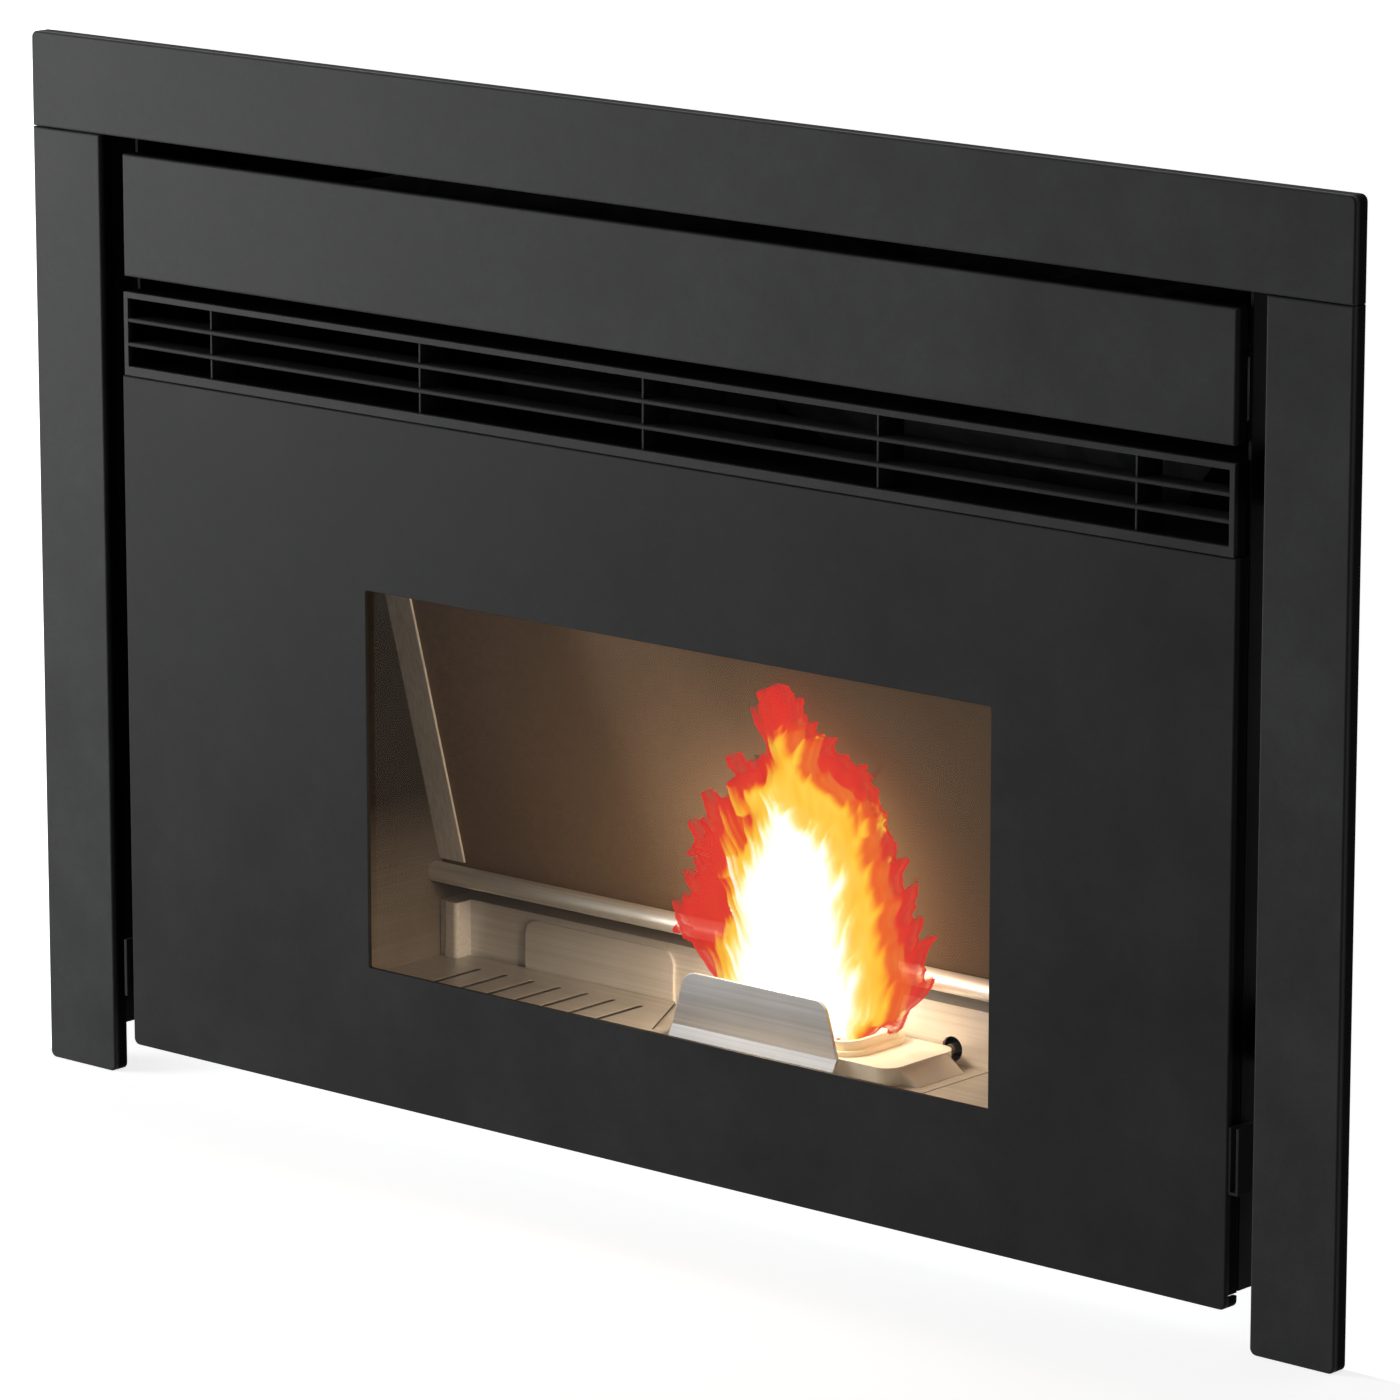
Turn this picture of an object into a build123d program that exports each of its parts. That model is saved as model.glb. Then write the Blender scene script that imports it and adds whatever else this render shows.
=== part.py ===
"""Pellet-burning fireplace insert: steel surround, glazed door, firebox and feed gear.

Millimetres.  X runs to the right, Z up, and depth is counted backwards from the
front plane of the surround.  The origin is under the middle of the whole part.
"""
from build123d import *
import os
from math import cos, pi, radians, sin, tan

os.makedirs("parts", exist_ok=True)

# ---- surround: three folded trays round the front --------------------------
OVERALL_WIDTH = 940.0
OVERALL_HEIGHT = 611.0
LEG_WIDTH = 54.0
HEADER_HEIGHT = 55.0
FOLD_DEPTH = 10.0
SURROUND_SHEET = 2.0
BUTT_GAP = 0.5
BEND_RADIUS = 1.2
CORNER_RADIUS = 4.0

# ---- front: door, air grille and pellet drawer, from the bottom up ----------
SIDE_GAP = 16.0
DOOR_BOTTOM = 20.0
DOOR_SHEET = 2.5
WINDOW_LEFT_MARGIN = 190.5
WINDOW_RIGHT_MARGIN = 158.5
WINDOW_HEIGHT = 219.0
WINDOW_BELOW_DOOR_TOP = 100.0
GRILLE_INSET = 2.0
GRILLE_HEIGHT = 48.5
GRILLE_GAP = 0.5
GRILLE_DEPTH = 24.0
DRAWER_INSET = 2.5
DRAWER_HEIGHT = 70.5
DRAWER_GAP = 9.0
HEADER_GAP = 9.5

# ---- casing -----------------------------------------------------------------
CASING_INSET = 1.0
CASING_SHEET = 2.0
CASING_SETBACK = 2.5
CASING_BACK = 525.0
CASING_BOTTOM = 28.0
CASING_BELOW_TOP = 31.0
PLINTH_INSET = 59.0
PLINTH_FRONT = 140.0
PLINTH_BACK_INSET = 25.0
PLINTH_SHEET = 3.0
PLINTH_FLANGE = 30.0
PLINTH_BOLT_RADIUS = 4.5

# ---- fire chamber -----------------------------------------------------------
CHAMBER_BESIDE_WINDOW = 55.5
CHAMBER_ABOVE_WINDOW = 82.0
CHAMBER_PLATE = 3.0
CHAMBER_REAR = 150.0
FLOOR_TOP = 74.0
FLOOR_PLATE = 2.2
FLOOR_FRAME = 3.5
MOUTH_BOTTOM = 36.0
BAFFLE_TILT = 15.1
BAFFLE_FOOT_DEPTH = 122.0
BAFFLE_FOOT_Z = 128.0
BAFFLE_THICKNESS = 22.0
SMOKE_PASS = 15.0
STRIP_WIDTH = 19.0
STRIP_SHEET = 1.5
AIR_TUBE_RADIUS = 6.0
AIR_TUBE_WALL = 1.5
AIR_TUBE_DEPTH = 115.0
AIR_TUBE_Z = 125.0
LOWER_WALL_FRONT = 131.0
LOWER_WALL_TOP = 107.0
LOWER_WALL_SHEET = 2.0

# ---- burner -----------------------------------------------------------------
BURNER_OFFSET = 7.0
POT_WIDTH = 124.0
POT_FRONT = 72.0
POT_BACK = 125.0
POT_RIM_Z = 92.0
POT_HEIGHT = 44.0
POT_WALL = 2.5
POT_RADIUS = 14.0
SHIELD_DEPTH = 64.5
SHIELD_SHEET = 2.0
SHIELD_TOP = 115.5
SHIELD_FOOT = 84.0
HOLDER_TOP = 84.0

# ---- flue, air and feed -----------------------------------------------------
FLUE_RADIUS = 40.0
FLUE_WALL = 1.5
FLUE_REACH = 42.0
FLUE_BESIDE_FAN = 100.0
FLUE_Z = 166.0
INTAKE_RADIUS = 25.0
INTAKE_REACH = 32.0
INTAKE_INSIDE = 10.0
INTAKE_FROM_EDGE = 99.0
INTAKE_Z = 80.0
COLLAR_WIDTH = 12.0
COLLAR_SHEET = 2.0
AUGER_TILT = 28.0
AUGER_RADIUS = 23.0
AUGER_SHAFT = 8.0
AUGER_PITCH = 50.0
AUGER_TUBE_BORE = 26.0
AUGER_TUBE_WALL = 2.0
AUGER_LENGTH = 250.0
AUGER_FLIGHT = 2.5

# ---- clearances -------------------------------------------------------------
RUNNING = 0.3
SHAFT_PLAY = 0.05
SEAT_PLAY = 0.6

# ---- places that follow from the sizes above --------------------------------
OVERALL_DEPTH = CASING_BACK + FLUE_REACH
FRONT_Y = -OVERALL_DEPTH / 2
HALF_WIDTH = OVERALL_WIDTH / 2
LEG_INNER = HALF_WIDTH - LEG_WIDTH
HEADER_BOTTOM = OVERALL_HEIGHT - HEADER_HEIGHT
DOOR_HALF = LEG_INNER - SIDE_GAP
GRILLE_HALF = DOOR_HALF - GRILLE_INSET
DRAWER_HALF = DOOR_HALF - DRAWER_INSET
DRAWER_TOP = HEADER_BOTTOM - HEADER_GAP
DRAWER_BOTTOM = DRAWER_TOP - DRAWER_HEIGHT
GRILLE_TOP = DRAWER_BOTTOM - DRAWER_GAP
GRILLE_BOTTOM = GRILLE_TOP - GRILLE_HEIGHT
DOOR_TOP = GRILLE_BOTTOM - GRILLE_GAP
WINDOW_LEFT = WINDOW_LEFT_MARGIN - DOOR_HALF
WINDOW_RIGHT = DOOR_HALF - WINDOW_RIGHT_MARGIN
WINDOW_TOP = DOOR_TOP - WINDOW_BELOW_DOOR_TOP
WINDOW_BOTTOM = WINDOW_TOP - WINDOW_HEIGHT
CASING_FRONT = FOLD_DEPTH + CASING_SETBACK
CASING_HALF = DOOR_HALF - CASING_INSET
CASING_INNER = CASING_HALF - CASING_SHEET
CASING_TOP = OVERALL_HEIGHT - CASING_BELOW_TOP
BASE_TOP = CASING_BOTTOM + CASING_SHEET
BACK_INNER = CASING_BACK - CASING_SHEET
MOUTH_BACK = CASING_FRONT + CHAMBER_PLATE
CHAMBER_X = (WINDOW_LEFT + WINDOW_RIGHT) / 2
CHAMBER_LEFT = WINDOW_LEFT - CHAMBER_BESIDE_WINDOW
CHAMBER_RIGHT = WINDOW_RIGHT + CHAMBER_BESIDE_WINDOW
CHAMBER_TOP = WINDOW_TOP + CHAMBER_ABOVE_WINDOW
BAFFLE_TOP = CHAMBER_TOP - SMOKE_PASS
BAFFLE_RUN = tan(radians(BAFFLE_TILT))
BURNER_X = CHAMBER_X + BURNER_OFFSET


# ---- helpers ----------------------------------------------------------------
def block(x0, x1, d0, d1, z0, z1):
    """A rectangular bar between two x, two depths and two heights."""
    centre = ((x0 + x1) / 2, FRONT_Y + (d0 + d1) / 2, (z0 + z1) / 2)
    return Pos(*centre) * Box(x1 - x0, d1 - d0, z1 - z0)


def along_x(points, x0, x1):
    """A side profile of (depth, z) points drawn out along X."""
    face = Polygon(*[(FRONT_Y + d, z) for d, z in points], align=None)
    return extrude(Plane.YZ.offset(x0) * face, amount=x1 - x0, dir=(1, 0, 0))


def along_z(points, z0, z1):
    """A plan profile of (x, depth) points drawn out along Z."""
    face = Polygon(*[(x, FRONT_Y + d) for x, d in points], align=None)
    return extrude(Plane.XY.offset(z0) * face, amount=z1 - z0, dir=(0, 0, 1))


def along_depth(sketch, d0, d1):
    """A front profile, drawn in X and Z, drawn out from one depth to another."""
    return extrude(Plane.XZ.offset(-FRONT_Y - d0) * sketch, amount=d1 - d0, dir=(0, 1, 0))


def rect(x0, x1, z0, z1, radius=0.0):
    """A rectangle in X and Z, with rounded corners where a radius is given."""
    size = (x1 - x0, z1 - z0)
    shape = RectangleRounded(*size, radius) if radius else Rectangle(*size)
    return Pos((x0 + x1) / 2, (z0 + z1) / 2) * shape


def plan_rect(x0, x1, d0, d1, z0, z1, radius):
    """A bar with rounded upright corners."""
    shape = Pos((x0 + x1) / 2, FRONT_Y + (d0 + d1) / 2) * RectangleRounded(x1 - x0, d1 - d0, radius)
    return extrude(Plane.XY.offset(z0) * shape, amount=z1 - z0, dir=(0, 0, 1))


def round_bar(x, z, radius, d0, d1):
    """A cylinder whose axis runs front to back."""
    return along_depth(Pos(x, z) * Circle(radius), d0, d1)


def cross_bar(depth, z, radius, x0, x1):
    """A cylinder whose axis runs left to right."""
    disc = Plane.YZ.offset(x0) * Pos(FRONT_Y + depth, z) * Circle(radius)
    return extrude(disc, amount=x1 - x0, dir=(1, 0, 0))


def upright_pin(x, depth, radius, z0, z1):
    """A cylinder whose axis is upright."""
    disc = Plane.XY.offset(z0) * Pos(x, FRONT_Y + depth) * Circle(radius)
    return extrude(disc, amount=z1 - z0, dir=(0, 0, 1))


LOWER_CORNERS = slice(0, 2)
UPPER_CORNERS = slice(2, 4)


def tray(x0, x1, z0, z1, sheet, fold, rounded=None):
    """A front plate with its four edges folded back round a small bend.

    The upper or the lower pair of corners is rounded where the plate ends in the open.
    """
    outside = block(x0, x1, 0, fold, z0, z1)
    if rounded:
        corners = outside.edges().filter_by(Axis.Y).sort_by(Axis.Z)[rounded]
        outside = fillet(corners, CORNER_RADIUS)
    bends = outside.faces().sort_by(Axis.Y)[0].edges()
    inside = block(x0 + sheet, x1 - sheet, sheet, fold + 1, z0 + sheet, z1 - sheet)
    return fillet(bends, BEND_RADIUS) - inside


def save(name, *shapes):
    """Write one sub-part, or a group of separate like solids."""
    solids = [solid for shape in shapes for solid in shape.solids()]
    export_step(solids[0] if len(solids) == 1 else Compound(solids), f"parts/{name}.step")


# ---- surround ---------------------------------------------------------------
def surround_tray(x0, x1, z0, z1, rounded):
    return tray(x0, x1, z0, z1, SURROUND_SHEET, FOLD_DEPTH, rounded)


FRAME_SHEET = 2.0
FRAME_INSET = 2.0
FRAME_DEPTH = 38.0
BRACKET_HEIGHT = 30.0
BRACKET_FRONT = 26.0
LOWER_BRACKET = 121.0
UPPER_BRACKET = 138.0


def surround_frame():
    """Angle frame behind the trays, with the brackets that tie it to the casing."""
    web = LEG_INNER + 1.0
    edge = HALF_WIDTH - FRAME_INSET
    flange = rect(-edge, edge, CASING_BOTTOM, OVERALL_HEIGHT - FRAME_INSET)
    flange -= rect(-web, web, CASING_BOTTOM - 1, HEADER_BOTTOM + 1.0)
    web_top = CASING_TOP + CASING_SHEET + 1.0
    hoop = rect(-web - FRAME_SHEET, web + FRAME_SHEET, CASING_BOTTOM, web_top + FRAME_SHEET)
    hoop -= rect(-web, web, CASING_BOTTOM - 1, web_top)
    frame = along_depth(flange, FOLD_DEPTH, FOLD_DEPTH + FRAME_SHEET)
    frame += along_depth(hoop, FOLD_DEPTH + FRAME_SHEET, FRAME_DEPTH)
    for side in (-1, 1):
        for z in (CASING_BOTTOM + LOWER_BRACKET, CASING_TOP - UPPER_BRACKET):
            ends = sorted((side * CASING_HALF, side * web))
            frame += block(*ends, BRACKET_FRONT, FRAME_DEPTH, z, z + BRACKET_HEIGHT)
    return frame


def make_surround():
    save("surround_header", surround_tray(-HALF_WIDTH, HALF_WIDTH, HEADER_BOTTOM, OVERALL_HEIGHT,
                                          UPPER_CORNERS))
    leg_top = HEADER_BOTTOM - BUTT_GAP
    save("surround_left_leg", surround_tray(-HALF_WIDTH, -LEG_INNER, 0, leg_top,
                                            LOWER_CORNERS))
    save("surround_right_leg", surround_tray(LEG_INNER, HALF_WIDTH, 0, leg_top,
                                             LOWER_CORNERS))
    save("surround_frame", surround_frame())


# ---- casing -----------------------------------------------------------------
CASING_FOLD = 14.0
LOUVRE_WIDTH = 8.0
LOUVRE_LENGTH = 90.0
LOUVRE_COUNT = 7
LOUVRE_PITCH = 26.0
INLET_FROM_EDGE = 69.0
INLET_Z = 90.0
INLET_WIDTH = 48.0
INLET_HEIGHT = 58.0
INLET_LAP_X = 6.0
INLET_LAP_Z = 4.0
INLET_X = INLET_FROM_EDGE - CASING_HALF
INTAKE_X = CASING_HALF - INTAKE_FROM_EDGE


def casing_side(side):
    """Side sheet with a rear flange folded inwards for the back."""
    outer = side * CASING_HALF
    inner = side * CASING_INNER
    flange = side * (CASING_INNER - CASING_FOLD)
    points = [(outer, CASING_FRONT), (outer, BACK_INNER), (flange, BACK_INNER),
              (flange, BACK_INNER - CASING_SHEET), (inner, BACK_INNER - CASING_SHEET),
              (inner, CASING_FRONT)]
    if side < 0:
        points.reverse()
    return along_z(points, CASING_BOTTOM, CASING_TOP)


def casing_back():
    """Back sheet with its flue, air, inlet and louvre openings."""
    sheet = rect(-CASING_HALF, CASING_HALF, CASING_BOTTOM, CASING_TOP)
    sheet -= Pos(FLUE_X, FLUE_Z) * Circle(FLUE_RADIUS + SEAT_PLAY)
    sheet -= Pos(INTAKE_X, INTAKE_Z) * Circle(INTAKE_RADIUS + SEAT_PLAY)
    wide = INLET_WIDTH / 2 - INLET_LAP_X
    high = INLET_HEIGHT / 2 - INLET_LAP_Z
    sheet -= rect(INLET_X - wide, INLET_X + wide, INLET_Z - high, INLET_Z + high)
    first = ROOM_FAN_X - LOUVRE_PITCH * (LOUVRE_COUNT - 1) / 2
    for index in range(LOUVRE_COUNT):
        x = first + index * LOUVRE_PITCH
        sheet -= Pos(x, ROOM_FAN_Z) * SlotOverall(LOUVRE_LENGTH, LOUVRE_WIDTH, rotation=90)
    return along_depth(sheet, BACK_INNER, CASING_BACK)


def casing_base():
    """Base sheet between the sides, folded up at the back."""
    flange_front = BACK_INNER - CASING_SHEET
    half = CASING_INNER - CASING_FOLD
    sheet = block(-CASING_INNER, CASING_INNER, MOUTH_BACK, flange_front, CASING_BOTTOM, BASE_TOP)
    return sheet + block(-half, half, flange_front, BACK_INNER, CASING_BOTTOM, BASE_TOP + CASING_FOLD)


def plinth():
    """Hollow plinth: an upright ring with a foot flange and four bolt holes."""
    half = CASING_HALF - PLINTH_INSET
    back = CASING_BACK - PLINTH_BACK_INSET
    ring = block(-half, half, PLINTH_FRONT, back, 0, CASING_BOTTOM)
    ring -= block(-half + PLINTH_SHEET, half - PLINTH_SHEET, PLINTH_FRONT + PLINTH_SHEET,
                  back - PLINTH_SHEET, -1, CASING_BOTTOM + 1)
    for side in (-1, 1):
        ends = sorted((side * half, side * (half + PLINTH_FLANGE)))
        foot = block(*ends, PLINTH_FRONT, back, 0, PLINTH_SHEET)
        for depth in (PLINTH_FRONT + PLINTH_FLANGE, back - PLINTH_FLANGE):
            foot -= upright_pin(side * (half + PLINTH_FLANGE / 2), depth, PLINTH_BOLT_RADIUS,
                                -1, PLINTH_SHEET + 1)
        ring += foot
    return ring


def make_casing():
    save("casing_left", casing_side(-1))
    save("casing_right", casing_side(1))
    save("casing_back", casing_back())
    save("casing_base", casing_base())
    save("base_plinth", plinth())
    cover = block(-CASING_HALF, CASING_HALF, CASING_FRONT, CASING_BACK, CASING_TOP,
                  CASING_TOP + CASING_SHEET)
    save("casing_top", cover)


# ---- air grille -------------------------------------------------------------
GRILLE_TOP_BAR = 3.5
GRILLE_BOTTOM_BAR = 5.3
GRILLE_SIDE_BAR = 3.2
BLADE_COUNT = 2
BLADE_THICKNESS = 2.4
BLADE_DROP = 2.0
DIVIDER_COUNT = 5
DIVIDER_THICKNESS = 1.2
DIVIDER_RECESS = 3.0
OUTLET_SHEET = 1.5
OUTLET_RISE = 1.0
OUTLET_DROP = 0.5
OUTLET_BACK = 62.0
OUTLET_INSET = 4.0


def blade_heights():
    """Lower face of each blade at its front edge, evenly spread in the opening."""
    low = GRILLE_BOTTOM + GRILLE_BOTTOM_BAR
    high = GRILLE_TOP - GRILLE_TOP_BAR
    slot = (high - low - BLADE_COUNT * BLADE_THICKNESS) / (BLADE_COUNT + 1)
    return [low + slot + index * (slot + BLADE_THICKNESS) for index in range(BLADE_COUNT)]


def blade_profile(z):
    """A blade that falls a little towards the back, with a bevelled nose."""
    nose = BLADE_THICKNESS / 4
    return [(nose, z), (GRILLE_DEPTH, z - BLADE_DROP),
            (GRILLE_DEPTH, z - BLADE_DROP + BLADE_THICKNESS), (nose, z + BLADE_THICKNESS),
            (0, z + BLADE_THICKNESS - nose), (0, z + nose)]


def make_grille():
    half = GRILLE_HALF
    inner = half - GRILLE_SIDE_BAR
    low = GRILLE_BOTTOM + GRILLE_BOTTOM_BAR
    high = GRILLE_TOP - GRILLE_TOP_BAR
    opening = rect(-inner, inner, low, high)
    face = rect(-half, half, GRILLE_BOTTOM, GRILLE_TOP) - opening
    neck = rect(-CASING_INNER, CASING_INNER, GRILLE_BOTTOM, GRILLE_TOP) - opening
    save("air_grille_frame", along_depth(face, 0, CASING_FRONT)
         + along_depth(neck, CASING_FRONT, GRILLE_DEPTH) + outlet_sleeve())
    blades = [along_x(blade_profile(z), -inner, inner) for z in blade_heights()]
    pitch = 2 * GRILLE_HALF / (DIVIDER_COUNT + 1) + DIVIDER_THICKNESS
    lattice = blades[0] + blades[1]
    for index in range(DIVIDER_COUNT):
        x = (index - (DIVIDER_COUNT - 1) / 2) * pitch
        lattice += block(x - DIVIDER_THICKNESS / 2, x + DIVIDER_THICKNESS / 2, DIVIDER_RECESS,
                         GRILLE_DEPTH, low, high)
    save("air_grille_blades", lattice)


def outlet_sleeve():
    """Sleeve behind the grille that takes warm air from inside the casing."""
    half = GRILLE_HALF - OUTLET_INSET
    low = GRILLE_BOTTOM + OUTLET_RISE
    high = GRILLE_TOP - OUTLET_DROP
    sleeve = rect(-half, half, low, high)
    sleeve -= rect(-half + OUTLET_SHEET, half - OUTLET_SHEET, low + OUTLET_SHEET,
                   high - OUTLET_SHEET)
    return along_depth(sleeve, GRILLE_DEPTH, OUTLET_BACK)


# ---- door -------------------------------------------------------------------
HINGE_X = -DOOR_HALF + 3.0
HINGE_DEPTH = 7.0
HINGE_PIN_RADIUS = 2.0
LUG_RADIUS = 4.0
LUG_OUTSET = 2.5
LUG_THICKNESS = 4.0
LUG_REACH = 28.0
LUG_ROOT = 8.0
EAR_RADIUS = 3.6
WEB_GAP = 3.0
PIN_HEAD_INSET = 0.4
PIN_HEAD_HEIGHT = 1.5
LOWER_LUG_UP = 43.0
UPPER_LUG_DOWN = 25.2
NOTCH_MARGIN = 6.0
EAR_THICKNESS = 3.0
EAR_REACH = 18.0
WINDOW_RADIUS = 1.5
GLASS_LAP = 14.0
GLASS_PLAY = 0.5
GLASS_THICKNESS = 4.0
GLASS_TAPE = 1.0
INNER_FRAME_BACK = 8.5
INNER_FRAME_LAP = 20.0
INNER_FRAME_RISE = 12.0
INNER_WINDOW_MARGIN = 6.0
SEAL_WIDTH = 7.0
SEAL_OUTSET = 5.0
CORNER_RELIEF = 1.5
BOTTOM_STUB = 6.5


def lug_heights():
    return (DOOR_BOTTOM + LOWER_LUG_UP, DOOR_TOP - UPPER_LUG_DOWN)


def door_panel():
    """Folded front plate with the window opening and the hinge notches."""
    panel = tray(-DOOR_HALF, DOOR_HALF, DOOR_BOTTOM, DOOR_TOP, DOOR_SHEET, FOLD_DEPTH,
                 LOWER_CORNERS)
    window = rect(WINDOW_LEFT, WINDOW_RIGHT, WINDOW_BOTTOM, WINDOW_TOP, WINDOW_RADIUS)
    panel -= along_depth(window, -1, FOLD_DEPTH)
    for z in lug_heights():
        panel -= block(-DOOR_HALF - 1, -DOOR_HALF + DOOR_SHEET, DOOR_SHEET, FOLD_DEPTH + 1,
                       z - NOTCH_MARGIN, z + LUG_THICKNESS + NOTCH_MARGIN)
    relief = DOOR_BOTTOM + BOTTOM_STUB
    for side in (-1, 1):
        ends = sorted((side * (DOOR_HALF - DOOR_SHEET), side * (DOOR_HALF + 1)))
        panel -= block(*ends, DOOR_SHEET, FOLD_DEPTH + 1, relief, relief + CORNER_RELIEF)
    return panel


def window_ring(outer_lap, inner_lap, d0, d1):
    """A flat ring round the window."""
    ring = rect(WINDOW_LEFT - outer_lap, WINDOW_RIGHT + outer_lap,
                WINDOW_BOTTOM - outer_lap, WINDOW_TOP + outer_lap)
    ring -= rect(WINDOW_LEFT - inner_lap, WINDOW_RIGHT + inner_lap,
                 WINDOW_BOTTOM - inner_lap, WINDOW_TOP + inner_lap)
    return along_depth(ring, d0, d1)


def door_inner_frame():
    """Inner frame that clamps the glass against the panel."""
    outer = rect(CHAMBER_LEFT - INNER_FRAME_LAP, CHAMBER_RIGHT + INNER_FRAME_LAP,
                 DOOR_BOTTOM + DOOR_SHEET, CHAMBER_TOP + INNER_FRAME_RISE)
    outer -= rect(WINDOW_LEFT - INNER_WINDOW_MARGIN, WINDOW_RIGHT + INNER_WINDOW_MARGIN,
                  WINDOW_BOTTOM - INNER_WINDOW_MARGIN, WINDOW_TOP + INNER_WINDOW_MARGIN)
    frame = along_depth(outer, DOOR_SHEET, INNER_FRAME_BACK)
    lap = GLASS_LAP + GLASS_PLAY
    pocket = rect(WINDOW_LEFT - lap, WINDOW_RIGHT + lap, WINDOW_BOTTOM - lap, WINDOW_TOP + lap)
    return frame - along_depth(pocket, 0, DOOR_SHEET + GLASS_TAPE + GLASS_THICKNESS)


def door_seal():
    """Rope seal round the mouth of the chamber."""
    low = MOUTH_BOTTOM - SEAL_OUTSET
    rings = [rect(CHAMBER_LEFT - SEAL_OUTSET - half, CHAMBER_RIGHT + SEAL_OUTSET + half, low - half,
                  CHAMBER_TOP + SEAL_OUTSET + half, SEAL_WIDTH + half)
             for half in (SEAL_WIDTH / 2, -SEAL_WIDTH / 2)]
    return along_depth(rings[0] - rings[1], INNER_FRAME_BACK, CASING_FRONT - RUNNING)


def hinge_lug(z):
    """Fixed ear on the casing side that carries one door pin."""
    outer = HINGE_X - LUG_OUTSET
    root = -CASING_INNER + LUG_ROOT
    arm = along_z([(outer, HINGE_DEPTH), (HINGE_X + LUG_RADIUS, HINGE_DEPTH),
                   (HINGE_X + LUG_RADIUS, CASING_FRONT), (root, CASING_FRONT), (root, LUG_REACH),
                   (-CASING_INNER, LUG_REACH), (-CASING_INNER, CASING_FRONT),
                   (outer, CASING_FRONT)], z, z + LUG_THICKNESS)
    arm += upright_pin(HINGE_X, HINGE_DEPTH, LUG_RADIUS, z, z + LUG_THICKNESS)
    bore = HINGE_PIN_RADIUS + SHAFT_PLAY
    return arm - upright_pin(HINGE_X, HINGE_DEPTH, bore, z - 1, z + LUG_THICKNESS + 1)


def hinge_ears(z):
    """Clevis on the door: an ear above and below the fixed lug, with a web."""
    low = z - RUNNING - EAR_THICKNESS
    high = z + LUG_THICKNESS + RUNNING + EAR_THICKNESS
    web = HINGE_X + LUG_RADIUS + WEB_GAP
    far = HINGE_X + EAR_REACH
    front = HINGE_DEPTH - EAR_RADIUS
    back = HINGE_DEPTH + EAR_RADIUS
    clevis = block(web, far, DOOR_SHEET, back, low, high)
    for z0 in (low, high - EAR_THICKNESS):
        clevis += block(HINGE_X, web, front, back, z0, z0 + EAR_THICKNESS)
        clevis += upright_pin(HINGE_X, HINGE_DEPTH, EAR_RADIUS, z0, z0 + EAR_THICKNESS)
    return clevis - upright_pin(HINGE_X, HINGE_DEPTH, HINGE_PIN_RADIUS, low - 1, high + 1)


def hinge_pin(z):
    """Headed pin held in the clevis."""
    low = z - RUNNING - EAR_THICKNESS
    high = z + LUG_THICKNESS + RUNNING + EAR_THICKNESS
    head = upright_pin(HINGE_X, HINGE_DEPTH, EAR_RADIUS - PIN_HEAD_INSET, high,
                       high + PIN_HEAD_HEIGHT)
    return upright_pin(HINGE_X, HINGE_DEPTH, HINGE_PIN_RADIUS, low, high) + head


TAB_X = DOOR_HALF + 5.2
TAB_SHEET = 2.0
TAB_BOTTOM = 48.0
TAB_HEIGHT = 34.0
TAB_FRONT = 0.5
TAB_BACK = 40.0
TAB_FOOT_FRONT = 26.0
TAB_FOOT_INSET = 6.0
PULL_BOTTOM = 83.0
PULL_HEIGHT = 36.0
PULL_SHEET = 1.5
PULL_FRONT = 0.8
PULL_BACK = 20.0
PULL_WIDTH = 6.5
TONGUE_X = DOOR_HALF - 27.0
TONGUE_SHEET = 4.0
TONGUE_Z = 200.0
TONGUE_HEIGHT = 30.0
TONGUE_BACK = 24.0
TONGUE_FOOT = 18.0
TONGUE_FOOT_SHEET = 3.0
TONGUE_TAPER = 2.0
CLIP_GAP = 1.0
CLIP_SHEET = 1.5
CLIP_BACK = 32.0
CLIP_FOOT = 8.0
CLIP_INSET = 4.0


def side_tab():
    """Plate beside the door's hinge edge, on a foot that meets the casing."""
    plate = block(-TAB_X - TAB_SHEET, -TAB_X, TAB_FRONT, TAB_BACK, TAB_BOTTOM,
                  TAB_BOTTOM + TAB_HEIGHT)
    foot = block(-TAB_X, -CASING_HALF, TAB_FOOT_FRONT, TAB_BACK, TAB_BOTTOM + TAB_FOOT_INSET,
                 TAB_BOTTOM + TAB_HEIGHT - TAB_FOOT_INSET)
    return plate + foot


def pull_bracket():
    """U-shaped socket on the free edge of the door for a lift-off handle."""
    bracket = block(DOOR_HALF, DOOR_HALF + PULL_WIDTH, PULL_FRONT, PULL_BACK, PULL_BOTTOM,
                    PULL_BOTTOM + PULL_HEIGHT)
    return bracket - block(DOOR_HALF + PULL_SHEET, DOOR_HALF + PULL_WIDTH - PULL_SHEET, -1,
                           PULL_BACK + 1, PULL_BOTTOM + PULL_SHEET, PULL_BOTTOM + PULL_HEIGHT + 1)


def latch_tongue():
    """Tongue behind the door panel that the spring clip grips."""
    side = TONGUE_X + TONGUE_SHEET
    far = TONGUE_X + TONGUE_FOOT
    foot_back = DOOR_SHEET + TONGUE_FOOT_SHEET
    points = [(TONGUE_X, DOOR_SHEET), (far, DOOR_SHEET), (far, foot_back), (side, foot_back),
              (side, TONGUE_BACK - TONGUE_TAPER), ((TONGUE_X + side) / 2, TONGUE_BACK),
              (TONGUE_X, TONGUE_BACK - TONGUE_TAPER)]
    return along_z(points, TONGUE_Z, TONGUE_Z + TONGUE_HEIGHT)


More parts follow.
